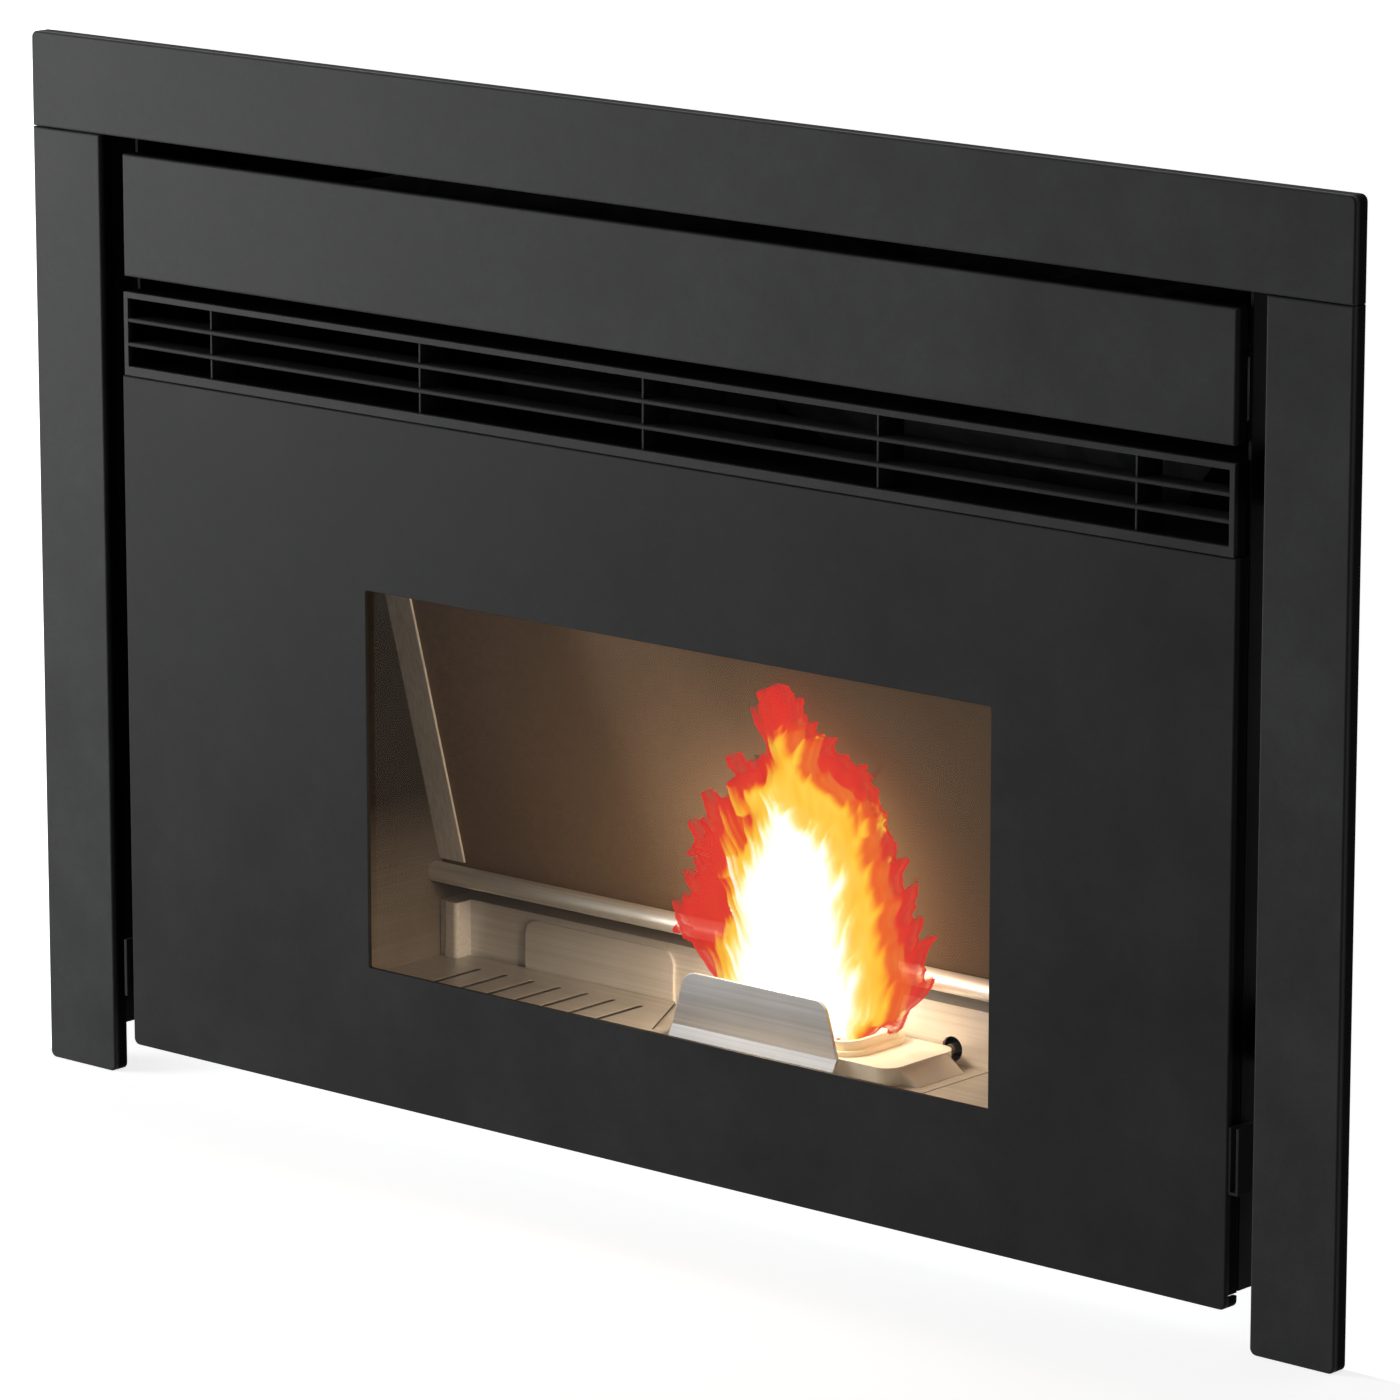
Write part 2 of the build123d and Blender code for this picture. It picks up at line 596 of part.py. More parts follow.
def latch_clip():
    """Two-leaf spring clip behind the mouth frame."""
    x0 = TONGUE_X - CLIP_GAP - CLIP_SHEET
    x1 = TONGUE_X + TONGUE_SHEET + CLIP_GAP + CLIP_SHEET
    points = [(x0 - CLIP_FOOT, MOUTH_BACK), (x0 + CLIP_SHEET, MOUTH_BACK),
              (x0 + CLIP_SHEET, CLIP_BACK - CLIP_SHEET), (x1 - CLIP_SHEET, CLIP_BACK - CLIP_SHEET),
              (x1 - CLIP_SHEET, MOUTH_BACK), (x1 + CLIP_FOOT, MOUTH_BACK),
              (x1 + CLIP_FOOT, MOUTH_BACK + CLIP_SHEET), (x1, MOUTH_BACK + CLIP_SHEET), (x1, CLIP_BACK),
              (x0, CLIP_BACK), (x0, MOUTH_BACK + CLIP_SHEET), (x0 - CLIP_FOOT, MOUTH_BACK + CLIP_SHEET)]
    return along_z(points, TONGUE_Z + CLIP_INSET, TONGUE_Z + TONGUE_HEIGHT - CLIP_INSET)


def make_door():
    save("door_panel", door_panel())
    tape_back = DOOR_SHEET + GLASS_TAPE
    save("glass_tape", window_ring(GLASS_LAP, 2.0, DOOR_SHEET, tape_back))
    glass = rect(WINDOW_LEFT - GLASS_LAP, WINDOW_RIGHT + GLASS_LAP, WINDOW_BOTTOM - GLASS_LAP,
                 WINDOW_TOP + GLASS_LAP)
    save("door_glass", along_depth(glass, tape_back, tape_back + GLASS_THICKNESS))
    save("door_inner_frame", door_inner_frame())
    save("door_seal", door_seal())
    save("door_hinge_ears", *[hinge_ears(z) for z in lug_heights()])
    save("door_hinge_pins", *[hinge_pin(z) for z in lug_heights()])
    save("door_hinge_lugs", *[hinge_lug(z) for z in lug_heights()])
    save("door_side_tab", side_tab())
    save("door_pull_bracket", pull_bracket())
    save("latch_tongue", latch_tongue())
    save("latch_clip", latch_clip())


# ---- fire chamber -----------------------------------------------------------
MOUTH_RADIUS = 4.0
STRIP_FOOT = 4.0
BEAD_INSET = 3.0
BEAD_WIDTH = 11.0
BEAD_PROUD = 13.0
BEAD_STEP = 1.5
BEAD_RADIUS = 3.0
PRESSING_FROM_SIDE = 58.0
PRESSING_BESIDE_BURNER = 116.0
PRESSING_LEFT = CHAMBER_LEFT + PRESSING_FROM_SIDE
PRESSING_RIGHT = BURNER_X - PRESSING_BESIDE_BURNER
PRESSING_TOP = 103.0
PRESSING_PROUD = 2.0
PRESSING_RADIUS = 9.0
SENSOR_BESIDE_BURNER = 88.0
SENSOR_X = BURNER_X + SENSOR_BESIDE_BURNER
SENSOR_Z = 82.0
SENSOR_RADIUS = 3.0
SENSOR_HOLE = 7.0
SMOKE_BESIDE_BURNER = 177.0
SMOKE_X = BURNER_X + SMOKE_BESIDE_BURNER
SMOKE_Z = 130.0
SMOKE_RADIUS = 38.0
FLUE_X = SMOKE_X - FLUE_BESIDE_FAN
GRATE_BESIDE_BURNER = 85.0
GRATE_RIGHT = BURNER_X - GRATE_BESIDE_BURNER
GRATE_SKEW = 29.0
GRATE_CUT_X = GRATE_RIGHT - GRATE_SKEW
GRATE_CUT_DEPTH = 75.0
SLOT_PITCH = 20.9
SLOT_FROM_SIDE = 40.0
SLOT_COUNT = int((GRATE_CUT_X - CHAMBER_LEFT - SLOT_FROM_SIDE) / SLOT_PITCH) + 1
SLOT_FRONT = 71.0
SLOT_LENGTH = 39.0
SLOT_WIDTH = 4.2
GRATE_LEDGE = 12.0
FLOOR_HOLE_FRONT = 28.0
FLOOR_HOLE_BACK = 118.0
FLOOR_HOLE_INSET = 2.0
PLATE_BESIDE_BURNER = 115.0
BURNER_PLATE_RIGHT = BURNER_X + PLATE_BESIDE_BURNER
PAN_WALL = 1.5
PAN_GAP = 4.0
PAN_BELOW_FLOOR = 10.0
PAN_FOOT = 3.0
PAN_FOOT_INSET = 8.0
PAN_LIP_WIDTH = 50.0
PAN_LIP_REACH = 10.0
PAN_LIP_DROP = 12.0
PAN_LIP_SHEET = 2.0
TUBE_HOLE_PITCH = 30.0
TUBE_HOLE_RADIUS = 1.5


def mouth_frame():
    """Front plate of the chamber with the mouth that the door closes."""
    plate = rect(-CASING_INNER, CASING_INNER, CASING_BOTTOM, GRILLE_BOTTOM - 2)
    plate -= rect(CHAMBER_LEFT, CHAMBER_RIGHT, MOUTH_BOTTOM, CHAMBER_TOP, MOUTH_RADIUS)
    slot = CLIP_GAP + 2
    plate -= rect(TONGUE_X - slot, TONGUE_X + TONGUE_SHEET + slot, TONGUE_Z - slot,
                  TONGUE_Z + TONGUE_HEIGHT + slot)
    for z in lug_heights():
        plate -= rect(-CASING_INNER - 1, -CASING_INNER + LUG_ROOT + RUNNING, z - RUNNING,
                      z + LUG_THICKNESS + RUNNING)
    return along_depth(plate, CASING_FRONT, MOUTH_BACK)


def wrapper():
    """Side walls and roof of the chamber, folded from one plate."""
    back = CHAMBER_REAR + CHAMBER_PLATE
    shell = block(CHAMBER_LEFT - CHAMBER_PLATE, CHAMBER_RIGHT + CHAMBER_PLATE, MOUTH_BACK, back,
                  BASE_TOP, CHAMBER_TOP + CHAMBER_PLATE)
    return shell - block(CHAMBER_LEFT, CHAMBER_RIGHT, 0, back + 1, 0, CHAMBER_TOP)


def chamber_rear():
    """Rear wall of the chamber, open for the smoke duct and the pellet chute."""
    wall = rect(CHAMBER_LEFT, CHAMBER_RIGHT, BASE_TOP, CHAMBER_TOP)
    wall -= Pos(SMOKE_X, SMOKE_Z) * Circle(SMOKE_RADIUS)
    wall -= Pos(SENSOR_X, SENSOR_Z) * Circle(SENSOR_RADIUS + SHAFT_PLAY)
    wall -= Pos(BURNER_X, IGNITER_Z) * Circle(IGNITER_RADIUS + SHAFT_PLAY)
    wall = along_depth(wall, CHAMBER_REAR, CHAMBER_REAR + CHAMBER_PLATE)
    return wall - chute_box(RUNNING)


def baffle():
    """Tilted fireproof panel at the back, cut for the pellet chute."""
    top = BAFFLE_FOOT_DEPTH - (BAFFLE_TOP - BAFFLE_FOOT_Z) * BAFFLE_RUN
    points = [(BAFFLE_FOOT_DEPTH, BAFFLE_FOOT_Z), (BAFFLE_FOOT_DEPTH + BAFFLE_THICKNESS, BAFFLE_FOOT_Z),
              (top + BAFFLE_THICKNESS, BAFFLE_TOP), (top, BAFFLE_TOP)]
    panel = along_x(points, CHAMBER_LEFT, CHAMBER_RIGHT)
    return panel - chute_box(RUNNING)


def baffle_strip(x0, x1):
    """Steel strip that holds one edge of the baffle."""
    foot = BAFFLE_FOOT_Z + STRIP_FOOT
    low = BAFFLE_FOOT_DEPTH - (foot - BAFFLE_FOOT_Z) * BAFFLE_RUN
    high = BAFFLE_FOOT_DEPTH - (BAFFLE_TOP - BAFFLE_FOOT_Z) * BAFFLE_RUN
    points = [(low - STRIP_SHEET, foot), (low, foot), (high, BAFFLE_TOP),
              (high - STRIP_SHEET, BAFFLE_TOP)]
    return along_x(points, x0, x1)


def air_tube():
    """Cross tube with a row of air holes facing the fire."""
    tube = cross_bar(AIR_TUBE_DEPTH, AIR_TUBE_Z, AIR_TUBE_RADIUS, CHAMBER_LEFT, CHAMBER_RIGHT)
    tube -= cross_bar(AIR_TUBE_DEPTH, AIR_TUBE_Z, AIR_TUBE_RADIUS - AIR_TUBE_WALL, CHAMBER_LEFT - 1,
                      CHAMBER_RIGHT + 1)
    for side in (-1, 0, 1):
        hole = BURNER_X + side * TUBE_HOLE_PITCH
        tube -= upright_pin(hole, AIR_TUBE_DEPTH, TUBE_HOLE_RADIUS,
                            AIR_TUBE_Z - AIR_TUBE_RADIUS - 1, AIR_TUBE_Z)
    return tube


def lower_wall():
    """Pressed steel wall behind the grate: a bead, a raised panel and a top ledge."""
    back = LOWER_WALL_FRONT + LOWER_WALL_SHEET
    foot = FLOOR_TOP - FLOOR_PLATE
    profile = [(LOWER_WALL_FRONT, foot), (back, foot),
               (back, LOWER_WALL_TOP - LOWER_WALL_SHEET),
               (CHAMBER_REAR, LOWER_WALL_TOP - LOWER_WALL_SHEET), (CHAMBER_REAR, LOWER_WALL_TOP),
               (LOWER_WALL_FRONT, LOWER_WALL_TOP)]
    wall = along_x(profile, CHAMBER_LEFT, CHAMBER_RIGHT)
    bead_front = LOWER_WALL_FRONT - BEAD_PROUD
    left = CHAMBER_LEFT
    wall += block(left, left + BEAD_INSET, bead_front + BEAD_STEP, LOWER_WALL_FRONT, foot,
                  LOWER_WALL_TOP)
    wall += plan_rect(left + BEAD_INSET, left + BEAD_INSET + BEAD_WIDTH, bead_front,
                      LOWER_WALL_FRONT + 1, foot, LOWER_WALL_TOP, BEAD_RADIUS)
    raised = rect(PRESSING_LEFT, PRESSING_RIGHT, foot - PRESSING_RADIUS, PRESSING_TOP, PRESSING_RADIUS)
    raised -= rect(PRESSING_LEFT - 1, PRESSING_RIGHT + 1, foot - 2 * PRESSING_RADIUS, foot)
    wall += along_depth(raised, LOWER_WALL_FRONT - PRESSING_PROUD, LOWER_WALL_FRONT)
    wall -= round_bar(SENSOR_X, SENSOR_Z, SENSOR_HOLE, LOWER_WALL_FRONT - 1, back + 1)
    return wall


def floor_frame():
    """Ledge plate that carries the grate, the burner plate and the side plate."""
    plate = block(CHAMBER_LEFT, CHAMBER_RIGHT, MOUTH_BACK, CHAMBER_REAR,
                  FLOOR_TOP - FLOOR_PLATE - FLOOR_FRAME, FLOOR_TOP - FLOOR_PLATE)
    plate -= block(CHAMBER_LEFT + GRATE_LEDGE, GRATE_CUT_X + FLOOR_HOLE_INSET, FLOOR_HOLE_FRONT,
                   FLOOR_HOLE_BACK, 0, FLOOR_TOP)
    return plate - pot_space(SEAT_PLAY, 0, FLOOR_TOP)


def grate():
    """Slotted grate that lifts off its ledge: an end cut on the skew, seven slots."""
    left = CHAMBER_LEFT + RUNNING
    back = LOWER_WALL_FRONT - PRESSING_PROUD - RUNNING
    bead = LOWER_WALL_FRONT - BEAD_PROUD - RUNNING
    bead_side = CHAMBER_LEFT + BEAD_INSET + BEAD_WIDTH + RUNNING
    points = [(left, MOUTH_BACK + 1), (GRATE_RIGHT, MOUTH_BACK + 1), (GRATE_RIGHT, GRATE_CUT_DEPTH),
              (GRATE_CUT_X, back), (bead_side, back), (bead_side, bead), (left, bead)]
    plate = along_z(points, FLOOR_TOP - FLOOR_PLATE + RUNNING, FLOOR_TOP)
    for index in range(SLOT_COUNT):
        x = CHAMBER_LEFT + SLOT_FROM_SIDE + index * SLOT_PITCH
        centre = (x, FRONT_Y + SLOT_FRONT + SLOT_LENGTH / 2)
        slot = Pos(*centre) * SlotOverall(SLOT_LENGTH, SLOT_WIDTH, rotation=90)
        plate -= extrude(Plane.XY.offset(FLOOR_TOP - FLOOR_PLATE) * slot, amount=FLOOR_PLATE + 1)
    return plate


def ash_pan():
    """Open tray under the grate with a folded pull lip."""
    x0 = CHAMBER_LEFT + GRATE_LEDGE + PAN_GAP
    x1 = GRATE_CUT_X + FLOOR_HOLE_INSET - PAN_GAP
    front = FLOOR_HOLE_FRONT + PAN_GAP
    back = FLOOR_HOLE_BACK - PAN_GAP
    bottom = BASE_TOP + PAN_FOOT
    top = FLOOR_TOP - PAN_BELOW_FLOOR
    pan = block(x0, x1, front, back, bottom, top)
    pan -= block(x0 + PAN_WALL, x1 - PAN_WALL, front + PAN_WALL, back - PAN_WALL, bottom + PAN_WALL,
                 top + 1)
    middle = (x0 + x1) / 2
    lip = block(middle - PAN_LIP_WIDTH / 2, middle + PAN_LIP_WIDTH / 2, front - PAN_LIP_REACH, front,
                top - PAN_LIP_DROP, top - PAN_LIP_DROP + PAN_LIP_SHEET)
    foot = block(x0 + PAN_FOOT_INSET, x1 - PAN_FOOT_INSET, front + PAN_FOOT_INSET,
                 back - PAN_FOOT_INSET, BASE_TOP, bottom)
    return pan + lip + foot


def make_chamber():
    save("chamber_mouth_frame", mouth_frame())
    save("chamber_wrapper", wrapper())
    save("chamber_rear_wall", chamber_rear())
    save("baffle_panel", baffle())
    strips = [baffle_strip(CHAMBER_LEFT, CHAMBER_LEFT + STRIP_WIDTH),
              baffle_strip(CHAMBER_RIGHT - STRIP_WIDTH, CHAMBER_RIGHT)]
    save("baffle_strips", *strips)
    save("air_tube", air_tube())
    save("lower_wall", lower_wall())
    save("floor_frame", floor_frame())
    save("slotted_grate", grate())
    save("ash_pan", ash_pan())


# ---- burner -----------------------------------------------------------------
IGNITER_RADIUS = 5.0
IGNITER_Z = 62.0
IGNITER_REACH = 60.0
POT_FLANGE = 3.5
POT_HOLE_RADIUS = 2.5
POT_HOLES_ACROSS = 5
POT_HOLES_DEEP = 2
POT_HOLE_PITCH = 20.0
HOLDER_LEFT = 6.0
HOLDER_RIGHT = 33.0
HOLDER_FLARE = 12.0
HOLDER_TOE_ROOT = 20.0
HOLDER_RADIUS = 10.0
HOLDER_FRONT = 68.0
HOLDER_BACK = 128.0
SHIELD_INSET = 2.0
SHIELD_TAPER = 19.0
SHIELD_LIP_SLOPE = 0.6
SENSOR_TAIL = 20.0
SENSOR_BOSS = 3.0
SENSOR_BOSS_BACK = 14.0
IGNITER_GAP = 1.5
IGNITER_BOSS = 4.0
IGNITER_BOSS_BACK = 16.0


def pot_space(play, z0, z1):
    """The room that the pot takes up, with some play all round."""
    half = POT_WIDTH / 2 + play
    return plan_rect(BURNER_X - half, BURNER_X + half, POT_FRONT - play, POT_BACK + play, z0, z1,
                     POT_RADIUS + play)


def burn_pot():
    """Thin-walled pot with a pierced floor that lifts off its holder."""
    bottom = POT_RIM_Z - POT_HEIGHT
    pot = pot_space(0, bottom, POT_RIM_Z)
    pot -= pot_space(-POT_WALL, bottom + POT_WALL, POT_RIM_Z + 1)
    seat = HOLDER_TOP + RUNNING
    flange = pot_space(POT_FLANGE, seat, seat + POT_WALL) - pot_space(-POT_WALL, 0, POT_RIM_Z)
    pot += flange
    middle = (POT_FRONT + POT_BACK) / 2
    for across in range(POT_HOLES_ACROSS):
        for deep in range(POT_HOLES_DEEP):
            x = BURNER_X + (across - (POT_HOLES_ACROSS - 1) / 2) * POT_HOLE_PITCH
            depth = middle + (deep - (POT_HOLES_DEEP - 1) / 2) * POT_HOLE_PITCH
            pot -= upright_pin(x, depth, POT_HOLE_RADIUS, bottom - 1, bottom + POT_WALL + 1)
    return pot - round_bar(BURNER_X, IGNITER_Z, IGNITER_RADIUS + 1, POT_BACK - POT_WALL - 1,
                           POT_BACK + 1)


def holder():
    """Cast block round the pot, flared at its foot on the right."""
    left = BURNER_X - POT_WIDTH / 2 - HOLDER_LEFT
    right = BURNER_X + POT_WIDTH / 2 + HOLDER_RIGHT
    body = plan_rect(left, right, HOLDER_FRONT, HOLDER_BACK, FLOOR_TOP, HOLDER_TOP, HOLDER_RADIUS)
    root = right - HOLDER_TOE_ROOT
    toe = along_depth(Polygon((root, FLOOR_TOP), (right + HOLDER_FLARE, FLOOR_TOP),
                              (right, HOLDER_TOP - 1), (root, HOLDER_TOP - 1), align=None),
                      HOLDER_FRONT + HOLDER_RADIUS, HOLDER_BACK - HOLDER_RADIUS)
    return body + toe - pot_space(SEAT_PLAY, 0, HOLDER_TOP + 1)


def shield():
    """Polished plate in front of the pot: a rounded trapezoid with a bent lip."""
    half = POT_WIDTH / 2 - SHIELD_INSET
    step = SHIELD_TAPER
    outline = Polygon((BURNER_X - half, SHIELD_FOOT), (BURNER_X + half, SHIELD_FOOT),
                      (BURNER_X + half - step / 2, SHIELD_TOP),
                      (BURNER_X - half + step / 2, SHIELD_TOP), align=None)
    outline = fillet(outline.vertices().sort_by(Axis.Y)[-2:], step / 2)
    plate = along_depth(outline, SHIELD_DEPTH, SHIELD_DEPTH + SHIELD_SHEET)
    reach = (SHIELD_FOOT - FLOOR_TOP) * SHIELD_LIP_SLOPE
    lip = [(SHIELD_DEPTH, SHIELD_FOOT), (SHIELD_DEPTH + SHIELD_SHEET, SHIELD_FOOT),
           (SHIELD_DEPTH + SHIELD_SHEET - reach, FLOOR_TOP), (SHIELD_DEPTH - reach, FLOOR_TOP)]
    return plate + along_x(lip, BURNER_X - half, BURNER_X + half)


def sensor():
    """Rod of the flame sensor, through the lower wall from behind."""
    rod = round_bar(SENSOR_X, SENSOR_Z, SENSOR_RADIUS, HOLDER_BACK + 1,
                    CHAMBER_REAR + SENSOR_TAIL)
    return rod + round_bar(SENSOR_X, SENSOR_Z, SENSOR_RADIUS + SENSOR_BOSS,
                           CHAMBER_REAR + CHAMBER_PLATE, CHAMBER_REAR + SENSOR_BOSS_BACK)


def igniter():
    """Ignition rod that ends close behind the pot."""
    rod = round_bar(BURNER_X, IGNITER_Z, IGNITER_RADIUS, POT_BACK + IGNITER_GAP,
                    POT_BACK + IGNITER_REACH)
    return rod + round_bar(BURNER_X, IGNITER_Z, IGNITER_RADIUS + IGNITER_BOSS,
                           CHAMBER_REAR + CHAMBER_PLATE, CHAMBER_REAR + IGNITER_BOSS_BACK)


def make_burner():
    burner_plate = block(GRATE_RIGHT + 1, BURNER_PLATE_RIGHT, MOUTH_BACK + 1,
                         LOWER_WALL_FRONT, FLOOR_TOP - FLOOR_PLATE, FLOOR_TOP)
    side_plate = block(BURNER_PLATE_RIGHT + 1, CHAMBER_RIGHT, MOUTH_BACK + 1,
                       LOWER_WALL_FRONT, FLOOR_TOP - FLOOR_PLATE, FLOOR_TOP)
    save("burner_plate", burner_plate - pot_space(SEAT_PLAY, 0, FLOOR_TOP + 1))
    save("side_floor_plate", side_plate)
    save("pot_holder", holder())
    save("burner_shield", shield())
    save("burn_pot", burn_pot())
    save("flame_sensor", sensor())
    save("igniter", igniter())


# ---- pellet feed ------------------------------------------------------------
HOPPER_SHEET = 1.5
TRAY_FROM_SIDE = 147.0
TRAY_HALF = CASING_INNER - TRAY_FROM_SIDE
HOPPER_AROUND_TRAY = 6.0
HOPPER_HALF = TRAY_HALF + HOPPER_AROUND_TRAY
HOPPER_FRONT = 246.0
HOPPER_FROM_BACK = 20.0
HOPPER_BACK = CASING_BACK - HOPPER_FROM_BACK
HOPPER_SHOULDER = DRAWER_BOTTOM - 2.0
HOPPER_LIP = DRAWER_BOTTOM + 3.0
HOPPER_RIM = DRAWER_TOP - 1.5
THROAT_TOP = 282.0
THROAT_HALF_WIDTH = 22.0
THROAT_HALF_DEPTH = 28.0
THROAT_ALONG = 60.0
FEED_DEPTH = 420.0
FEED_Z = 195.0
TUBE_MARGIN = 12.0
CHUTE_SIZE = 46.0
CHUTE_TILT = 40.0
CHUTE_LENGTH = 175.0
MOTOR_RADIUS = 30.0
MOTOR_LENGTH = 70.0
COUPLING_DEPTH = 20.0
FLIGHT_FACETS = 16
FLIGHT_ROOT = 0.3
SHAFT_END_GAP = 2.0
MOTOR_CAP_INSET = 8.0
MOTOR_CAP_LENGTH = 14.0
HOPPER_EAR_LENGTH = 40.0
HOPPER_EAR_FROM_BACK = 20.0
HOPPER_EAR_SHEET = 3.0


def feed_plane(along=0.0):
    """Plane square to the screw axis, some way up from its lower end."""
    tilt = radians(AUGER_TILT)
    origin = (BURNER_X, FRONT_Y + FEED_DEPTH - along * cos(tilt), FEED_Z + along * sin(tilt))
    return Plane(origin=origin, x_dir=(1, 0, 0), z_dir=(0, -cos(tilt), sin(tilt)))


def feed_rod(radius, start, end):
    """A cylinder on the screw axis between two places along it."""
    return extrude(feed_plane(start) * Circle(radius), amount=end - start)


def chute_box(play):
    """The straight way down which pellets fall from the screw into the chamber."""
    top = feed_plane(AUGER_LENGTH - AUGER_RADIUS / 2).origin
    tilt = radians(CHUTE_TILT)
    plane = Plane(origin=top, x_dir=(1, 0, 0), z_dir=(0, -cos(tilt), -sin(tilt)))
    size = CHUTE_SIZE + 2 * play
    return extrude(plane * Rectangle(size, size), amount=CHUTE_LENGTH)


def auger_tube():
    """Feed tube with its inlet throat and its drop chute, as one weldment."""
    throat_at = feed_plane(THROAT_ALONG).origin
    depth = throat_at.Y - FRONT_Y

    def throat(inset, top):
        return block(BURNER_X - THROAT_HALF_WIDTH + inset, BURNER_X + THROAT_HALF_WIDTH - inset,
                     depth - THROAT_HALF_DEPTH + inset, depth + THROAT_HALF_DEPTH - inset,
                     throat_at.Z, top)

    body = feed_rod(AUGER_TUBE_BORE + AUGER_TUBE_WALL, -TUBE_MARGIN, AUGER_LENGTH + TUBE_MARGIN)
    body += throat(0, THROAT_TOP) + chute_box(0)
    body -= feed_rod(AUGER_TUBE_BORE, -TUBE_MARGIN + AUGER_TUBE_WALL,
                     AUGER_LENGTH + TUBE_MARGIN - AUGER_TUBE_WALL)
    body -= throat(HOPPER_SHEET, THROAT_TOP + 1) + chute_box(-AUGER_TUBE_WALL)
    body -= feed_rod(AUGER_SHAFT + SHAFT_PLAY, -TUBE_MARGIN - 1, 0)
    low = BAFFLE_FOOT_DEPTH + BAFFLE_FOOT_Z * BAFFLE_RUN
    high = BAFFLE_FOOT_DEPTH - (CHAMBER_TOP - BAFFLE_FOOT_Z) * BAFFLE_RUN
    before_baffle = along_x([(0, 0), (low, 0), (high, CHAMBER_TOP), (0, CHAMBER_TOP)],
                            BURNER_X - CHUTE_SIZE, BURNER_X + CHUTE_SIZE)
    return body - before_baffle


def auger_screw():
    """Feed screw: a helical flight of ruled facets wound on a round shaft."""
    inner = AUGER_SHAFT - FLIGHT_ROOT
    length = AUGER_LENGTH - AUGER_PITCH
    steps = round(length / AUGER_PITCH * FLIGHT_FACETS)
    sections = []
    for step in range(steps + 1):
        turn = 2 * pi * step / FLIGHT_FACETS
        out = (cos(turn), sin(turn), 0)
        place = Plane(origin=(0, 0, length * step / steps), x_dir=out, z_dir=(-out[1], out[0], 0))
        sections.append(place * Pos((inner + AUGER_RADIUS) / 2, 0)
                        * Rectangle(AUGER_RADIUS - inner, AUGER_FLIGHT))
    flight = loft(sections, ruled=True)
    start = -TUBE_MARGIN - COUPLING_DEPTH + SHAFT_END_GAP
    shaft = Pos(0, 0, start) * Cylinder(AUGER_SHAFT, AUGER_LENGTH - SHAFT_END_GAP - start,
                                        align=(Align.CENTER, Align.CENTER, Align.MIN))
    return feed_plane() * (shaft + flight)


def auger_motor():
    """Gearmotor on the lower end of the feed tube, bored for the screw shaft."""
    start = -TUBE_MARGIN - MOTOR_LENGTH
    body = feed_rod(MOTOR_RADIUS, start, -TUBE_MARGIN)
    body += feed_rod(MOTOR_RADIUS - MOTOR_CAP_INSET, start - MOTOR_CAP_LENGTH, start)
    return body - feed_rod(AUGER_SHAFT + SHAFT_PLAY, -TUBE_MARGIN - COUPLING_DEPTH, 0)


def hopper():
    """Funnel over the feed throat, with a collar that is open towards the drawer."""
    throat = feed_plane(THROAT_ALONG).origin.Y - FRONT_Y

    def funnel(inset):
        half, deep = THROAT_HALF_WIDTH - inset, THROAT_HALF_DEPTH - inset
        wide = HOPPER_HALF - inset
        across = [(BURNER_X - half, THROAT_TOP), (BURNER_X + half, THROAT_TOP),
                  (wide, HOPPER_SHOULDER), (-wide, HOPPER_SHOULDER)]
        along = [(throat - deep, THROAT_TOP), (throat + deep, THROAT_TOP),
                 (HOPPER_BACK - inset, HOPPER_SHOULDER), (HOPPER_FRONT + inset, HOPPER_SHOULDER)]
        front_shape = along_depth(Polygon(*across, align=None), HOPPER_FRONT - 1, HOPPER_BACK + 1)
        return front_shape & along_x(along, -HOPPER_HALF - 1, HOPPER_HALF + 1)

    def collar(inset, z0, z1):
        return block(-HOPPER_HALF + inset, HOPPER_HALF - inset, HOPPER_FRONT + inset,
                     HOPPER_BACK - inset, z0, z1)

    body = funnel(0) + collar(0, HOPPER_SHOULDER, HOPPER_RIM)
    body -= funnel(HOPPER_SHEET) + collar(HOPPER_SHEET, HOPPER_SHOULDER, HOPPER_RIM + 1)
    inner = HOPPER_HALF - HOPPER_SHEET
    body -= block(-inner, inner, HOPPER_FRONT - 1, HOPPER_FRONT + HOPPER_SHEET + 1, HOPPER_LIP,
                  HOPPER_RIM + 1)
    for side in (-1, 1):
        ends = sorted((side * HOPPER_HALF, side * CASING_INNER))
        back = HOPPER_BACK - HOPPER_EAR_FROM_BACK
        body += block(*ends, back - HOPPER_EAR_LENGTH, back, HOPPER_RIM - HOPPER_EAR_SHEET, HOPPER_RIM)
    return body


def make_feed():
    save("auger_tube", auger_tube())
    save("auger_screw", auger_screw())
    save("auger_motor", auger_motor())
    save("hopper", hopper())


# ---- pellet drawer ----------------------------------------------------------
DRAWER_SHEET = 2.0
TRAY_SHEET = 1.5
TRAY_OVER_LIP = 6.0
TRAY_BACK = HOPPER_FRONT + TRAY_OVER_LIP
TRAY_TOP = DRAWER_TOP - 5.5
TRAY_FLOOR_FRONT = DRAWER_BOTTOM + 12.0
TRAY_FLOOR_BACK = HOPPER_LIP + 1.5
RUNNER_WIDTH = 12.0
RUNNER_THICKNESS = 3.0
RUNNER_Z = DRAWER_TOP - 27.5
RAIL_FRONT = 14.0
RAIL_BACK = 240.0
RAIL_PLAY = 0.4
RAIL_SHEET = 2.5
RAIL_ARM_WIDTH = 20.0
RAIL_ARM_FROM_FRONT = 16.0
RAIL_ARM_FROM_BACK = 40.0


